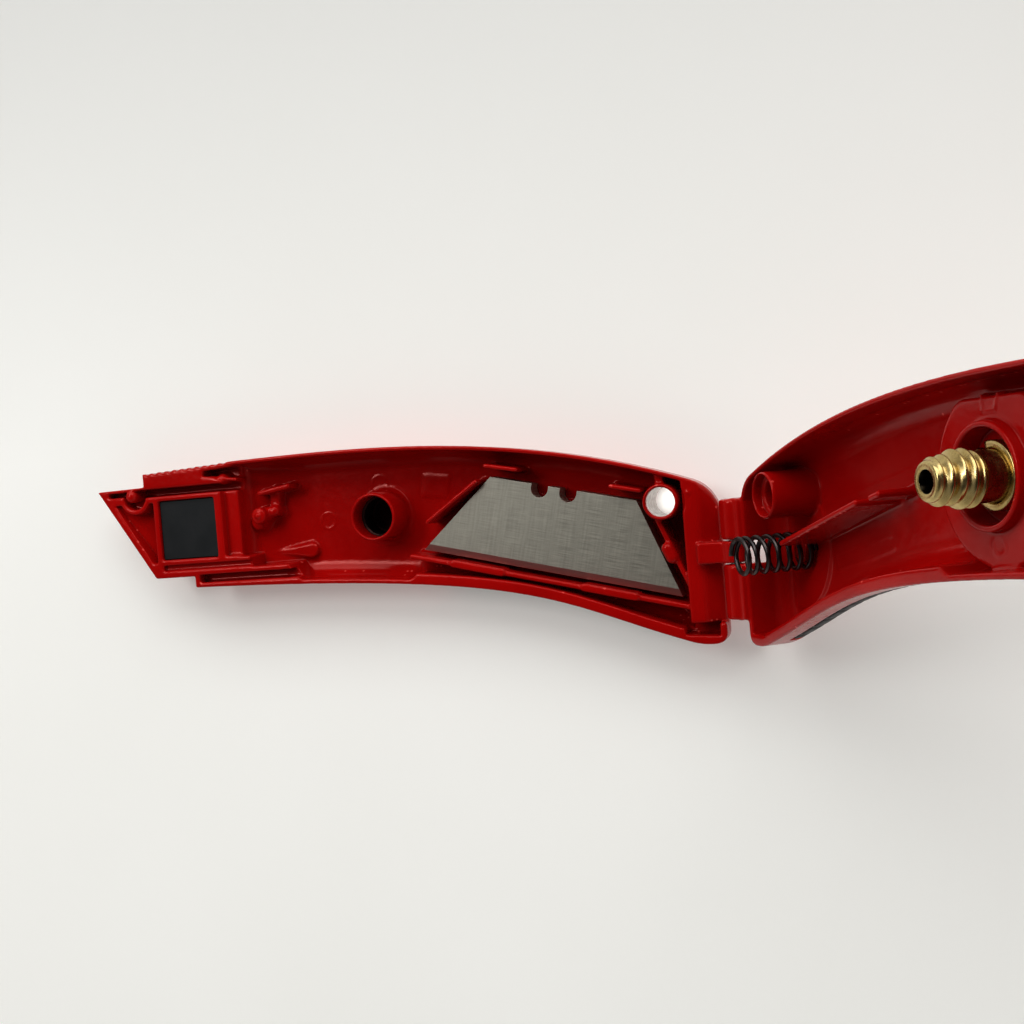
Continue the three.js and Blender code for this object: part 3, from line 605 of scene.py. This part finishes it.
def lid_body():
    field = start_half()
    hollow(field, 4.5, LID_WALL)
    floor_w = HALF_DEPTH - LID_WALL
    foot = HALF_DEPTH
    around = np.linspace(0, 2 * math.pi, 48, endpoint=False)
    plateau_r = 14.3
    plateau = [(SCREW[0] + plateau_r * math.cos(t), min(SCREW[1] + plateau_r * math.sin(t), 27.0))
               for t in around]
    field.add(*upright(plateau, 4.2, foot, rounding=0.5, draft=0.05), fillet=0.9)
    field.add(*post(SCREW, 8.4, 2.1, 7, rounding=0.3), fillet=0.5)
    notch_mark = [(80.6, 27.3), (80.9, 24.9), (83.9, 24.9), (84.4, 27.3)]
    for start, end in zip(notch_mark, notch_mark[1:]):
        field.add(*wall(start, end, 0.4, 4.0, 6, rounding=0.15), fillet=0.2)
    field.add(*post(LANYARD, 4.7, -0.55, foot, rounding=0.4), limited=False)
    field.add(*wall((18.8, 3.8), (47.6, 11.5), 1.2, 0.7, foot, rounding=0.4))
    field.add(*wall((50.3, 12.2), (53.0, 12.9), 1.2, 2.0, foot, rounding=0.4))
    field.add(*post((SPRING["a"], SPRING["h"]), 2.6, 7.4, foot, rounding=0.6))
    field.remove(*hole(SCREW, 7.4, 0, CLIP_W[1] + 0.3), fillet=0.35)
    field.remove(*hole(SCREW, THREAD_R + 0.2, 0, 14), fillet=0.2)
    field.remove(*hole(SCREW, KNOB_RECESS_R, KNOB_RECESS_W, 14), fillet=0.5)
    field.remove(*hole(LANYARD, LANYARD_SOCKET_R, -2, 1.6), fillet=0.3)
    field.remove(*hole(LANYARD, LANYARD_R, -2, 14), fillet=0.5)
    seat = [(116, 7), (139.6, 7), (148.6, 22.6), (116, 22.6)]
    field.remove(*upright(seat, -3, 0.9, rounding=0.0, draft=0.0), fillet=0.2)
    field.remove(*hole(PIN_SOCKET, PIN_R + 0.3, -2, 2), fillet=0.3)
    h0, h1 = BASE_KNUCKLE
    field.remove(*box(-3, 6, h0 - 0.35, h1 + 0.35, -3, 5.2), fillet=0.3)
    for h0, h1 in LID_KNUCKLES:
        field.add_free(*hinge_rod(KNUCKLE_R, h0, h1, rounding=0.7), fillet=0.2)
        field.add_free(*box(0, 3.9, h0, h1, -0.9, 2.7, rounding=0.5), fillet=0.6)
    field.remove(*hinge_rod(PIN_BORE_R, -20, 20, rounding=0.0), fillet=0.1)
    # marks that ejector pins and die inserts leave on the floor
    field.add(*ring_mark((82.4, 4.4), 1.5, 4.2), fillet=0.15)
    for start, end in (
            ((24, 0.5), (44, 5.0)),
            ((24, 0.5), (24.6, -2)),
            ((24.6, -2), (44.6, 2.5)),
            ((24, 11), (62, 18.5))):
        field.add(*wall(start, end, 0.3, floor_w - 0.1, foot, rounding=0.1), fillet=0.2)
    field.add(*post((9.5, 2.5), 13.0, floor_w - 0.4, foot), fillet=0.4)
    grip_pocket(field)
    return field


def grip_body():
    """Soft inlay with broad cross ribs on the outside of a half."""
    field = Field((10, -19, 3), (71, 13, 12.3))
    plan_a, plan_h = field.plan_grid()
    plan = polygon_distance(body_outline(), plan_a, plan_h)[:, :, None]
    closed = rounded_corner(plan, field.w - depth_at(plan_a)[:, :, None], corner_at(plan_a)[:, :, None])
    region = polygon_distance(grip_region(GRIP_GAP), plan_a, plan_h)[:, :, None]
    region = np.maximum(region, GRIP_EDGE_W + GRIP_GAP - field.w)
    along = (plan_a + 0.25 * plan_h)[:, :, None] + 0 * field.w
    groove = np.clip((np.cos(2 * math.pi * along / GRIP_RIB_PITCH) - 0.55) / 0.45, 0, 1)
    skin = closed + 0.05 + GRIP_GROOVE * groove
    layer = np.maximum(rounded_corner(skin, region, 0.3), -(closed + GRIP_THICK + 0.06))
    field.value = layer.astype(np.float32)
    return field


# ---- turned, wound and ground pieces
def screw_axis_place(points):
    """Points (x, y, depth) about the screw axis, depth along w, to the part's frame."""
    moved = points + np.array([SCREW[0], SCREW[1], 0])
    return lid_place(moved)


def revolve(name, rings, place, segments):
    """A closed turned body from rings of (radius, depth), where a radius may depend on the angle."""
    angles = np.linspace(0, 2 * math.pi, segments, endpoint=False)
    points = []
    for radius, w in rings:
        r = radius(angles) if callable(radius) else np.full(segments, float(radius))
        depth = np.full(segments, float(w))
        points.append(np.stack([r * np.cos(angles), r * np.sin(angles), depth], axis=1))
    n = len(points)
    faces = []
    for k in range(n - 1):
        for i in range(segments):
            j = (i + 1) % segments
            near, far = k * segments, (k + 1) * segments
            faces.append((near + i, near + j, far + j, far + i))
    centres = np.array([[0, 0, points[0][:, 2].mean()], [0, 0, points[-1][:, 2].mean()]])
    for i in range(segments):
        j = (i + 1) % segments
        faces.append((n * segments, j, i))
        faces.append((n * segments + 1, (n - 1) * segments + i, (n - 1) * segments + j))
    return mesh_object(name, place(np.concatenate(points + [centres])), faces)


def clamp_screw():
    """Hollow brass nose, two steps of coarse rounded thread, polished neck, collar and knurled knob."""
    segments = 120
    rings = [(0.6, 2.4), (1.6, 2.0), (1.75, 1.7), (1.75, SCREW_TIP + 0.15), (1.9, SCREW_TIP),
             (2.75, SCREW_TIP), (3.0, SCREW_TIP + 0.1), (3.15, SCREW_TIP + 0.35)]
    step_w = THREAD_END_W - 1.6 * SCREW_PITCH     # where the thin thread meets the thick one
    from_w, to_w = -6.95, 0.75
    shank_r = 3.2
    for w in np.linspace(from_w, to_w, 110):
        crest = PILOT_R + (THREAD_R - PILOT_R) * smoothstep(w, step_w - 0.5, step_w + 0.3)
        fade = smoothstep(w, from_w, from_w + 0.9) * (1 - smoothstep(w, -0.5, 0.55))

        def radius(angle, w=w, crest=crest, fade=fade):
            wave = 0.5 + 0.5 * np.cos(2 * math.pi * (w / SCREW_PITCH - angle / (2 * math.pi)))
            lobe = wave ** 0.75
            core = shank_r + (NECK_R - shank_r) * smoothstep(w, step_w - 0.5, step_w + 0.5)
            root = np.minimum(crest - 0.95, core)
            threaded = root + (crest - root) * lobe
            return core + (threaded - core) * fade
        rings.append((radius, w))
    under = KNOB_RECESS_W + 0.1 + SCREW_TRAVEL
    face = under + KNOB_H
    rings += [(NECK_R, 1.0), (NECK_R, CLIP_W[1] + 0.12), (NECK_R + 0.05, CLIP_W[1] + 0.15),
              (THREAD_R - 0.1, CLIP_W[1] + 0.16), (THREAD_R, CLIP_W[1] + 0.3), (THREAD_R, under - 0.1),
              (THREAD_R + 0.05, under)]

    def knurled(r):
        def radius(angle):
            tooth = np.abs(np.sin(angle * KNOB_TEETH / 2))
            return r - 0.45 * (1 - tooth) ** 2
        return radius
    rings += [(KNOB_R - 1.1, under), (KNOB_R - 0.9, under + 0.02), (knurled(KNOB_R - 0.25), under + 0.5),
              (knurled(KNOB_R), under + 0.9), (knurled(KNOB_R), face - 0.9),
              (knurled(KNOB_R - 0.25), face - 0.5), (KNOB_R - 0.9, face - 0.05), (KNOB_R - 1.1, face),
              (6.95, face), (6.8, face - 0.06), (6.35, face - 0.46), (6.2, face - 0.5), (1.2, face - 0.5)]
    return revolve("screw_body", rings, screw_axis_place, segments)


def retaining_clip():
    """Open ring with broken edges in the screw's groove."""
    (w0, w1), (r0, r1) = CLIP_W, CLIP_R
    e = 0.18
    section = [(r0, w0 + e), (r0 + e, w0), (r1 - e, w0), (r1, w0 + e),
               (r1, w1 - e), (r1 - e, w1), (r0 + e, w1), (r0, w1 - e)]
    half_gap = 1.1 / r1
    middle = math.radians(90 + CLIP_GAP_TURN)
    angles = np.linspace(middle + half_gap, middle + 2 * math.pi - half_gap, 61)
    points = np.array([(r * math.cos(t), r * math.sin(t), w) for t in angles for r, w in section])
    n = len(section)
    faces = []
    for k in range(len(angles) - 1):
        for i in range(n):
            j = (i + 1) % n
            faces.append((k * n + i, (k + 1) * n + i, (k + 1) * n + j, k * n + j))
    faces.append(tuple(range(n)))
    faces.append(tuple(reversed(range((len(angles) - 1) * n, len(angles) * n))))
    return mesh_object("clip_ring", screw_axis_place(points), faces)


def lift_spring():
    """Evenly wound compression spring with a closed turn at each end."""
    s = SPRING
    steps = int(s["turns"] * (48))
    around = 16
    closed_rise = 2.2 * s["wire"]
    open_rise = abs(s["to"] - s["from"]) - 2 * closed_rise
    rows = []
    for t in np.linspace(0, 1, steps + 1):
        turn = t * s["turns"]
        rise = (closed_rise * min(turn, 1) + open_rise * min(max((turn - 1) / (s["turns"] - 2), 0), 1)
                + closed_rise * max(0, turn - s["turns"] + 1))
        angle = turn * 2 * math.pi
        out = np.array([math.cos(angle), math.sin(angle), 0])
        up = np.array([0, 0, 1])
        centre = np.array([s["a"], s["h"], s["from"] - rise]) + s["r"] * out
        phi = np.linspace(0, 2 * math.pi, around, endpoint=False)[:, None]
        rows.append(centre + s["wire"] * (np.cos(phi) * out + np.sin(phi) * up))
    faces = []
    for k in range(steps):
        for i in range(around):
            j = (i + 1) % around
            near, far = k * around, (k + 1) * around
            faces.append((near + i, near + j, far + j, far + i))
    faces.append(tuple(reversed(range(around))))
    faces.append(tuple(range(steps * around, (steps + 1) * around)))
    return mesh_object("spring_coil", lid_place(np.concatenate(rows)), faces)


def blade(index):
    """Trapezoid blade with two notches, ground on both faces along its long edge."""
    b = BLADE
    half_long, half_short = b["long"] / 2, b["short"] / 2
    at_bevel = half_long - (half_long - half_short) * b["bevel"] / b["height"]
    top = [(half_short, b["height"])]
    for x in sorted(NOTCHES, reverse=True):
        top.append((x + NOTCH_R, b["height"]))
        for t in np.linspace(0, math.pi, 17):
            top.append((x + NOTCH_R * math.cos(t), b["height"] - NOTCH_SIDE - NOTCH_R * math.sin(t)))
        top.append((x - NOTCH_R, b["height"]))
    top.append((-half_short, b["height"]))
    flat = [(-at_bevel, b["bevel"]), (at_bevel, b["bevel"])] + top
    edge = [(-half_long, 0.0), (half_long, 0.0)]
    keen = 0.06
    w0 = b["top"] + index * b["pitch"]
    w1 = w0 + b["thick"]
    middle = (w0 + w1) / 2
    c, s = math.cos(BLADE_TILT), math.sin(BLADE_TILT)

    def turned(points, w):
        return [(BLADE_MIDDLE[0] + x * c - y * s, BLADE_MIDDLE[1] + x * s + y * c, w) for x, y in points]
    n = len(flat)
    points = turned(flat, w0) + turned(flat, w1)
    points += turned(edge, middle - keen / 2) + turned(edge, middle + keen / 2)
    e0, e1, f0, f1 = 2 * n, 2 * n + 1, 2 * n + 2, 2 * n + 3
    faces = [tuple(range(n)), tuple(reversed(range(n, 2 * n)))]
    for i in range(1, n):
        j = (i + 1) % n
        faces.append((i, i + n, j + n, j))
    faces += [(e0, e1, 1, 0), (f1, f0, n, n + 1), (e1, e0, f0, f1), (0, n, f0, e0), (e1, f1, n + 1, 1)]
    piece = mesh_object(f"blade_{index + 1}", base_place(np.array(points)), faces, smooth=False)
    soften = piece.modifiers.new("edges", "BEVEL")
    soften.width = 0.04 * MM
    soften.segments = 2
    soften.limit_method = "ANGLE"
    soften.angle_limit = math.radians(40)
    return piece


# ---- materials
HOLE_X = HINGE.x - LANYARD[0]
HOLE_Y = HINGE.y + LANYARD[1]


RANGE_SOCKETS = ("From Min", "From Max", "To Min", "To Max")


class Nodes:
    """Short way to write a material's node tree."""

    def __init__(self, name):
        self.material = bpy.data.materials.new(name)
        self.material.use_nodes = True
        self.tree = self.material.node_tree
        self.tree.nodes.clear()
        self.output = self.tree.nodes.new("ShaderNodeOutputMaterial")
        self.shader = self.tree.nodes.new("ShaderNodeBsdfPrincipled")
        self.tree.links.new(self.shader.outputs[0], self.output.inputs[0])
        coordinates = self.tree.nodes.new("ShaderNodeTexCoord")
        self.place = coordinates.outputs["Object"]

    def new(self, kind, **settings):
        node = self.tree.nodes.new(kind)
        for key, value in settings.items():
            setattr(node, key, value)
        return node

    def join(self, source, target):
        self.tree.links.new(source, target)

    def set(self, **values):
        for key, value in values.items():
            self.shader.inputs[key.replace("_", " ")].default_value = value

    def stretched(self, scale, rotation=(0, 0, 0), origin=(0, 0, 0)):
        mapping = self.new("ShaderNodeMapping", vector_type="TEXTURE")
        mapping.inputs["Scale"].default_value = scale
        mapping.inputs["Rotation"].default_value = rotation
        mapping.inputs["Location"].default_value = tuple(origin)
        self.join(self.place, mapping.inputs["Vector"])
        return mapping.outputs[0]

    def noise(self, scale, detail=3.0, rough=0.5, vector=None):
        node = self.new("ShaderNodeTexNoise")
        node.inputs["Scale"].default_value = scale
        node.inputs["Detail"].default_value = detail
        node.inputs["Roughness"].default_value = rough
        self.join(vector or self.place, node.inputs["Vector"])
        return node.outputs["Fac"]

    def ranged(self, value, from_min, from_max, to_min, to_max):
        node = self.new("ShaderNodeMapRange")
        for key, v in zip(RANGE_SOCKETS, (from_min, from_max, to_min, to_max)):
            node.inputs[key].default_value = v
        self.join(value, node.inputs["Value"])
        return node.outputs[0]

    def mix(self, factor, colour_a, colour_b):
        node = self.new("ShaderNodeMix", data_type="RGBA")
        self.join(factor, node.inputs["Factor"])
        for socket, colour in ((node.inputs["A"], colour_a), (node.inputs["B"], colour_b)):
            if isinstance(colour, tuple):
                socket.default_value = (*colour, 1)
            else:
                self.join(colour, socket)
        return node.outputs["Result"]

    def math(self, operation, a, b=0.0):
        node = self.new("ShaderNodeMath", operation=operation)
        for socket, value in ((node.inputs[0], a), (node.inputs[1], b)):
            if isinstance(value, (int, float)):
                socket.default_value = value
            else:
                self.join(value, socket)
        return node.outputs[0]

    def bump(self, height, strength, distance_mm, normal=None):
        node = self.new("ShaderNodeBump")
        node.inputs["Strength"].default_value = strength
        node.inputs["Distance"].default_value = distance_mm * MM
        self.join(height, node.inputs["Height"])
        if normal is not None:
            self.join(normal, node.inputs["Normal"])
        return node.outputs[0]

    def finish(self, colour, roughness, normal=None):
        self.join(colour, self.shader.inputs["Base Color"])
        self.join(roughness, self.shader.inputs["Roughness"])
        if normal is not None:
            self.join(normal, self.shader.inputs["Normal"])
        return self.material


def red_paint(name, bore=False):
    """Glossy red enamel over a rough casting: orange peel, a painted highlight that turns sharp edges pale
    pink, and painted shade that deepens the red in corners.
    Below its rim the base half's screw bore is near-black and rougher, and its lanyard hole is bare metal."""
    m = Nodes(name)
    clouds = m.noise(60, 3)
    colour = m.mix(m.ranged(clouds, 0.3, 0.7, 0, 1), (0.34, 0.0022, 0.0018), (0.43, 0.0045, 0.0035))
    edge = m.new("ShaderNodeNewGeometry").outputs["Pointiness"]
    # painted highlight: sharp edges turn pale pink, as if their gloss caught the light
    painted_edge_highlight = m.ranged(edge, 0.552, 0.61, 0, 0.75)
    colour = m.mix(painted_edge_highlight, colour, (0.72, 0.095, 0.08))
    # painted shade: hollows and inside corners, where pointiness is low, turn a deeper red
    depth = m.ranged(edge, 0.44, 0.49, 0, 1)
    colour = m.mix(depth, (0.16, 0.0008, 0.0006), colour)
    roughness = m.ranged(m.noise(700, 2), 0.3, 0.7, 0.13, 0.24)
    peel = m.bump(m.noise(1100, 2), 0.5, 0.04)
    casting = m.bump(m.noise(330, 2), 0.5, 0.08, peel)
    m.set(Specular_IOR_Level=0.36, Specular_Tint=(1.0, 0.42, 0.38, 1))
    if bore:
        split = m.new("ShaderNodeSeparateXYZ")
        m.join(m.place, split.inputs[0])
        x, y, z = split.outputs
        radius = m.math("SQRT", m.math("ADD", m.math("MULTIPLY", x, x), m.math("MULTIPLY", y, y)))
        inside = m.math("LESS_THAN", radius, (BORE_RIM_R - 0.05) * MM)
        below = m.math("LESS_THAN", z, (HALF_DEPTH - 1.0) * MM)
        bare = m.math("MULTIPLY", inside, below)
        from_hole = m.new("ShaderNodeVectorMath", operation="DISTANCE")
        flat = m.new("ShaderNodeCombineXYZ")
        m.join(x, flat.inputs[0])
        m.join(y, flat.inputs[1])
        m.join(flat.outputs[0], from_hole.inputs[0])
        from_hole.inputs[1].default_value = (HOLE_X * MM, HOLE_Y * MM, 0)
        raw = m.math("LESS_THAN", from_hole.outputs["Value"], (LANYARD_R + 0.12) * MM)
        raw = m.math("MULTIPLY", raw, below)
        metal = m.mix(m.ranged(m.noise(900, 3), 0.4, 0.6, 0, 1), (0.55, 0.5, 0.47), (0.75, 0.73, 0.7))
        colour = m.mix(raw, colour, metal)
        # the screw bore turns near-black and rougher below its rim
        colour = m.mix(bare, colour, (0.012, 0.011, 0.010))
        roughness = m.math("ADD", roughness, m.math("MULTIPLY", bare, 0.12))
    return m.finish(colour, roughness, casting)


def blade_steel():
    """Ground steel with fine lines across the blade, blotched with oil, with a painted reflection of the
    red rim on its bevel.
    """
    m = Nodes("blade_steel")
    lines = m.noise(1.0, 5, 0.65, m.stretched((6 * MM, 0.12 * MM, 1), (0, 0, -BLADE_TILT)))
    across = m.noise(1.0, 3, 0.6, m.stretched((0.5 * MM, 9 * MM, 1), (0, 0, -BLADE_TILT)))
    grain = m.math("ADD", m.math("MULTIPLY", lines, 0.7), m.math("MULTIPLY", across, 0.3))
    colour = m.mix(m.ranged(grain, 0.38, 0.62, 0, 1), (0.33, 0.315, 0.27), (0.47, 0.45, 0.385))
    rough = m.ranged(lines, 0.35, 0.65, 0.40, 0.52)
    split = m.new("ShaderNodeSeparateXYZ")
    blade_middle = base_place(np.array([[*BLADE_MIDDLE, 0.0]]))[0] * MM
    m.join(m.stretched((MM, MM, MM), (0, 0, -BLADE_TILT), blade_middle), split.inputs[0])
    # painted reflection: the ground bevel is tinted red, like the red rim it mirrors
    ground = m.math("LESS_THAN", split.outputs[1], BLADE["bevel"] + 0.02)
    colour = m.mix(ground, colour, (0.40, 0.20, 0.18))
    m.set(Metallic=1.0)
    return m.finish(colour, rough, m.bump(lines, 0.3, 0.015))


def spring_steel():
    m = Nodes("spring_steel")
    patches = m.noise(500, 3)
    colour = m.mix(m.ranged(patches, 0.35, 0.7, 0, 1), (0.045, 0.042, 0.045), (0.10, 0.085, 0.08))
    m.set(Metallic=1.0)
    return m.finish(colour, m.ranged(patches, 0.3, 0.7, 0.28, 0.42), m.bump(m.noise(2500, 2), 0.2, 0.02))


def pin_steel():
    m = Nodes("pin_steel")
    patches = m.noise(300, 3)
    colour = m.mix(m.ranged(patches, 0.35, 0.7, 0, 1), (0.34, 0.33, 0.32), (0.46, 0.45, 0.43))
    m.set(Metallic=1.0)
    return m.finish(colour, m.ranged(patches, 0.3, 0.7, 0.25, 0.4), m.bump(m.noise(1500, 2), 0.2, 0.02))


def brass():
    """Turned brass, a little dull in patches, with fine tool marks and painted shade darkening the hole in
    its nose.
    """
    m = Nodes("brass")
    patches = m.noise(260, 4, 0.6)
    colour = m.mix(m.ranged(patches, 0.35, 0.7, 0, 1), (0.42, 0.305, 0.12), (0.58, 0.455, 0.22))
    rough = m.ranged(m.noise(900, 3), 0.3, 0.7, 0.20, 0.33)
    from_axis = m.new("ShaderNodeVectorMath", operation="SUBTRACT")
    m.join(m.place, from_axis.inputs[0])
    from_axis.inputs[1].default_value = JOINTS["screw_turn"]["pos_m"]
    across = m.new("ShaderNodeVectorMath", operation="CROSS_PRODUCT")
    m.join(from_axis.outputs[0], across.inputs[0])
    across.inputs[1].default_value = JOINTS["screw_turn"]["axis"]
    radius = m.new("ShaderNodeVectorMath", operation="LENGTH")
    m.join(across.outputs[0], radius.inputs[0])
    along = m.new("ShaderNodeVectorMath", operation="DOT_PRODUCT")
    m.join(from_axis.outputs[0], along.inputs[0])
    along.inputs[1].default_value = JOINTS["screw_turn"]["axis"]
    hole_end = Vector(lid_place(np.array([[*SCREW, 2.6]]))[0]) * MM - Vector(JOINTS["screw_turn"]["pos_m"])
    hole_end_along = hole_end.dot(Vector(JOINTS["screw_turn"]["axis"]))
    # painted shade: near-black inside the hole in the screw's nose
    ahead = m.math("GREATER_THAN", along.outputs["Value"], hole_end_along)
    nose_hole_shade = m.math("MULTIPLY", ahead, m.math("LESS_THAN", radius.outputs["Value"], 1.85 * MM))
    colour = m.mix(nose_hole_shade, colour, (0.02, 0.016, 0.01))
    m.set(Metallic=1.0)
    return m.finish(colour, rough, m.bump(m.noise(2200, 2), 0.25, 0.02))


def magnet():
    """Dark sintered slab, smudged with grease in patches."""
    m = Nodes("magnet")
    grain = m.noise(1500, 3)
    smear = m.noise(180, 4, 0.6)
    colour = m.mix(m.ranged(smear, 0.45, 0.7, 0, 1), (0.0085, 0.010, 0.0112), (0.0125, 0.0135, 0.015))
    rough = m.math("ADD", m.ranged(smear, 0.35, 0.65, 0.34, 0.5), m.ranged(grain, 0.3, 0.7, 0, 0.08))
    m.set(Specular_IOR_Level=0.3)
    return m.finish(colour, rough, m.bump(grain, 0.25, 0.03))


def soft_grip():
    m = Nodes("soft_grip")
    grain = m.noise(2200, 3)
    colour = m.mix(m.ranged(m.noise(120, 3), 0.3, 0.7, 0, 1), (0.012, 0.011, 0.011), (0.022, 0.02, 0.02))
    m.set(Specular_IOR_Level=0.35, Sheen_Weight=0.15)
    return m.finish(colour, m.ranged(grain, 0.3, 0.7, 0.5, 0.75), m.bump(grain, 0.4, 0.05))


MATERIALS = {
    "red_paint": red_paint("red_paint"), "bored_paint": red_paint("red_paint_bored", bore=True),
    "blade_steel": blade_steel(), "spring_steel": spring_steel(),
    "pin_steel": pin_steel(), "brass": brass(), "magnet": magnet(), "soft_grip": soft_grip(),
}


def wear(piece, slot):
    piece.data.materials.clear()
    piece.data.materials.append(MATERIALS[slot])


def put(piece, body, slot, *nodes, material=None):
    """Gives a finished piece its material, its body and the CAD nodes that it stands for."""
    wear(piece, material or slot)
    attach(piece, body)
    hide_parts(*nodes)


def keep(node, slot, edge_mm):
    """Keeps a CAD node whose shape is right, with softened edges and a real material."""
    shown = frame["nodes"][node]
    shown.data.materials.clear()
    shown.data.materials.append(MATERIALS[slot])
    soften = shown.modifiers.new("edges", "BEVEL")
    soften.width = edge_mm * MM
    soften.segments = 3
    soften.limit_method = "ANGLE"
    soften.angle_limit = math.radians(50)
    soften.harden_normals = True


# ---- the pieces
put(base_body().mesh("base_half", base_place), "base", "red_paint", "base_shell", material="bored_paint")
put(lid_body().mesh("lid_half", lid_place, LID_MIRRORS), "lid", "red_paint", "lid_shell")
GRIP = grip_body()
put(GRIP.mesh("base_inlay", base_place), "base", "soft_grip", "base_grip")
put(GRIP.mesh("lid_inlay", lid_place, LID_MIRRORS), "lid", "soft_grip", "lid_grip")
put(clamp_screw(), "screw", "brass", "clamp_screw")
put(retaining_clip(), "clip", "brass", "retaining_clip")
for number in range(BLADE["count"]):
    put(blade(number), "base", "blade_steel", f"spare_blade_{number + 1}")
COIL = lift_spring()
put(COIL, "lid", "spring_steel", "lid_spring")
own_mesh(COIL)
keep("nose_magnet", "magnet", 0.3)
keep("hinge_pin", "pin_steel", 0.2)


# ---- camera, floor and light
def point_camera():
    data = bpy.data.cameras.new("camera")
    data.lens = 45.416
    data.sensor_width = 36.0
    data.clip_start = 0.01
    camera = bpy.data.objects.new("camera", data)
    right = Vector((0.948858, -0.084214, -0.304262))
    up = Vector((0.073747, 0.996227, -0.045752))
    back = right.cross(up)
    matrix = Matrix((right, up, back)).transposed().to_4x4()
    matrix.translation = HINGE * MM + Vector((0.039387, 0.019736, 0.272530))
    camera.matrix_world = matrix
    bpy.context.scene.collection.objects.link(camera)
    bpy.context.scene.camera = camera


FLOOR_R = 30000.0
FLOOR_SIDES = 64


def paper_floor():
    """White sheet that the knife lies on, much larger than any view."""
    around = np.linspace(0, 2 * math.pi, FLOOR_SIDES, endpoint=False)
    rim = [(FLOOR_R * math.cos(t), FLOOR_R * math.sin(t), 0) for t in around]
    floor = mesh_object("floor", rim, [tuple(range(FLOOR_SIDES))])
    m = Nodes("floor_paper")
    colour = m.mix(m.ranged(m.noise(9, 3), 0.3, 0.7, 0, 1), (0.82, 0.815, 0.775), (0.85, 0.845, 0.81))
    split = m.new("ShaderNodeSeparateXYZ")
    m.join(m.place, split.inputs[0])
    # painted shade: greyer just behind the knife, on its spine side, where the sheet gets less light
    far_side = m.ranged(split.outputs[1], 0.02, 0.16, 0, 1)
    beyond = m.ranged(split.outputs[1], 0.25, 0.6, 1, 0)
    colour = m.mix(m.math("MULTIPLY", far_side, beyond), colour, (0.55, 0.55, 0.53))
    rough = m.ranged(m.noise(300, 2), 0.3, 0.7, 0.55, 0.65)
    # a faint glow that grows with distance, so that the sheet fades into the pale room
    from_middle = m.new("ShaderNodeVectorMath", operation="LENGTH")
    m.join(m.place, from_middle.inputs[0])
    far = m.ranged(from_middle.outputs["Value"], 0.6, 3.0, 0, 1)
    glow = m.mix(far, (0.27, 0.267, 0.26), (0.60, 0.60, 0.59))
    m.join(glow, m.shader.inputs["Emission Color"])
    m.set(Specular_IOR_Level=0.25, Emission_Strength=0.6)
    floor.data.materials.append(m.finish(colour, rough, m.bump(m.noise(900, 2), 0.1, 0.05)))


def soft_box(name, place, aim, size, power, spread=180):
    data = bpy.data.lights.new(name, "AREA")
    data.shape = "RECTANGLE"
    data.size, data.size_y = size
    data.energy = power
    data.spread = math.radians(spread)
    light = bpy.data.objects.new(name, data)
    light.location = place
    light.rotation_euler = (Vector(aim) - Vector(place)).to_track_quat("-Z", "Y").to_euler()
    bpy.context.scene.collection.objects.link(light)


ROOM_LEVEL = 0.75


def bright_room():
    """Pale room, darker straight overhead where the photographer leans over the table."""
    world = bpy.data.worlds.new("room")
    bpy.context.scene.world = world
    world.use_nodes = True
    tree = world.node_tree
    tree.nodes.clear()
    output = tree.nodes.new("ShaderNodeOutputWorld")
    background = tree.nodes.new("ShaderNodeBackground")
    coordinates = tree.nodes.new("ShaderNodeTexCoord")
    split = tree.nodes.new("ShaderNodeSeparateXYZ")
    ramp = tree.nodes.new("ShaderNodeValToRGB")
    tree.links.new(coordinates.outputs["Generated"], split.inputs[0])
    tree.links.new(split.outputs["Z"], ramp.inputs[0])
    shade = tree.nodes.new("ShaderNodeMapRange")
    for key, value in zip(RANGE_SOCKETS, (-1, 1, 0.45, 1.0)):
        shade.inputs[key].default_value = value
    tree.links.new(split.outputs["X"], shade.inputs["Value"])
    strength = tree.nodes.new("ShaderNodeMath")
    strength.operation = "MULTIPLY"
    strength.inputs[1].default_value = ROOM_LEVEL
    tree.links.new(shade.outputs[0], strength.inputs[0])
    tree.links.new(strength.outputs[0], background.inputs[1])
    ramp.color_ramp.elements[0].position = 0.0
    ramp.color_ramp.elements[0].color = (0.97, 0.97, 0.96, 1)
    ramp.color_ramp.elements[1].position = 1.0
    ramp.color_ramp.elements[1].color = (0.05, 0.048, 0.045, 1)
    for height, level in ((0.55, 0.85), (0.72, 0.35), (0.85, 0.08)):
        ramp.color_ramp.elements.new(height).color = (level, level, level * 0.98, 1)
    tree.links.new(ramp.outputs[0], background.inputs[0])
    tree.links.new(background.outputs[0], output.inputs[0])


point_camera()
paper_floor()
soft_box("window", (0.0, 1.25, 1.0), (0.08, 0, 0), (2.2, 1.0), 16.0)
soft_box("ceiling_lamp", (-0.48, 0.36, 0.94), (0.0, 0, 0), (0.42, 0.2), 2.4)
# the lanyard hole shows the lit sheet under it, which no outer light reaches
soft_box("through_hole", (HOLE_X * MM, HOLE_Y * MM, 7.5 * MM), (HOLE_X * MM, HOLE_Y * MM, 0),
         (4 * MM, 4 * MM), 0.00007, spread=50)
bright_room()
bpy.context.scene.view_settings.view_transform = "Standard"
bpy.context.scene.view_settings.look = "Medium High Contrast"
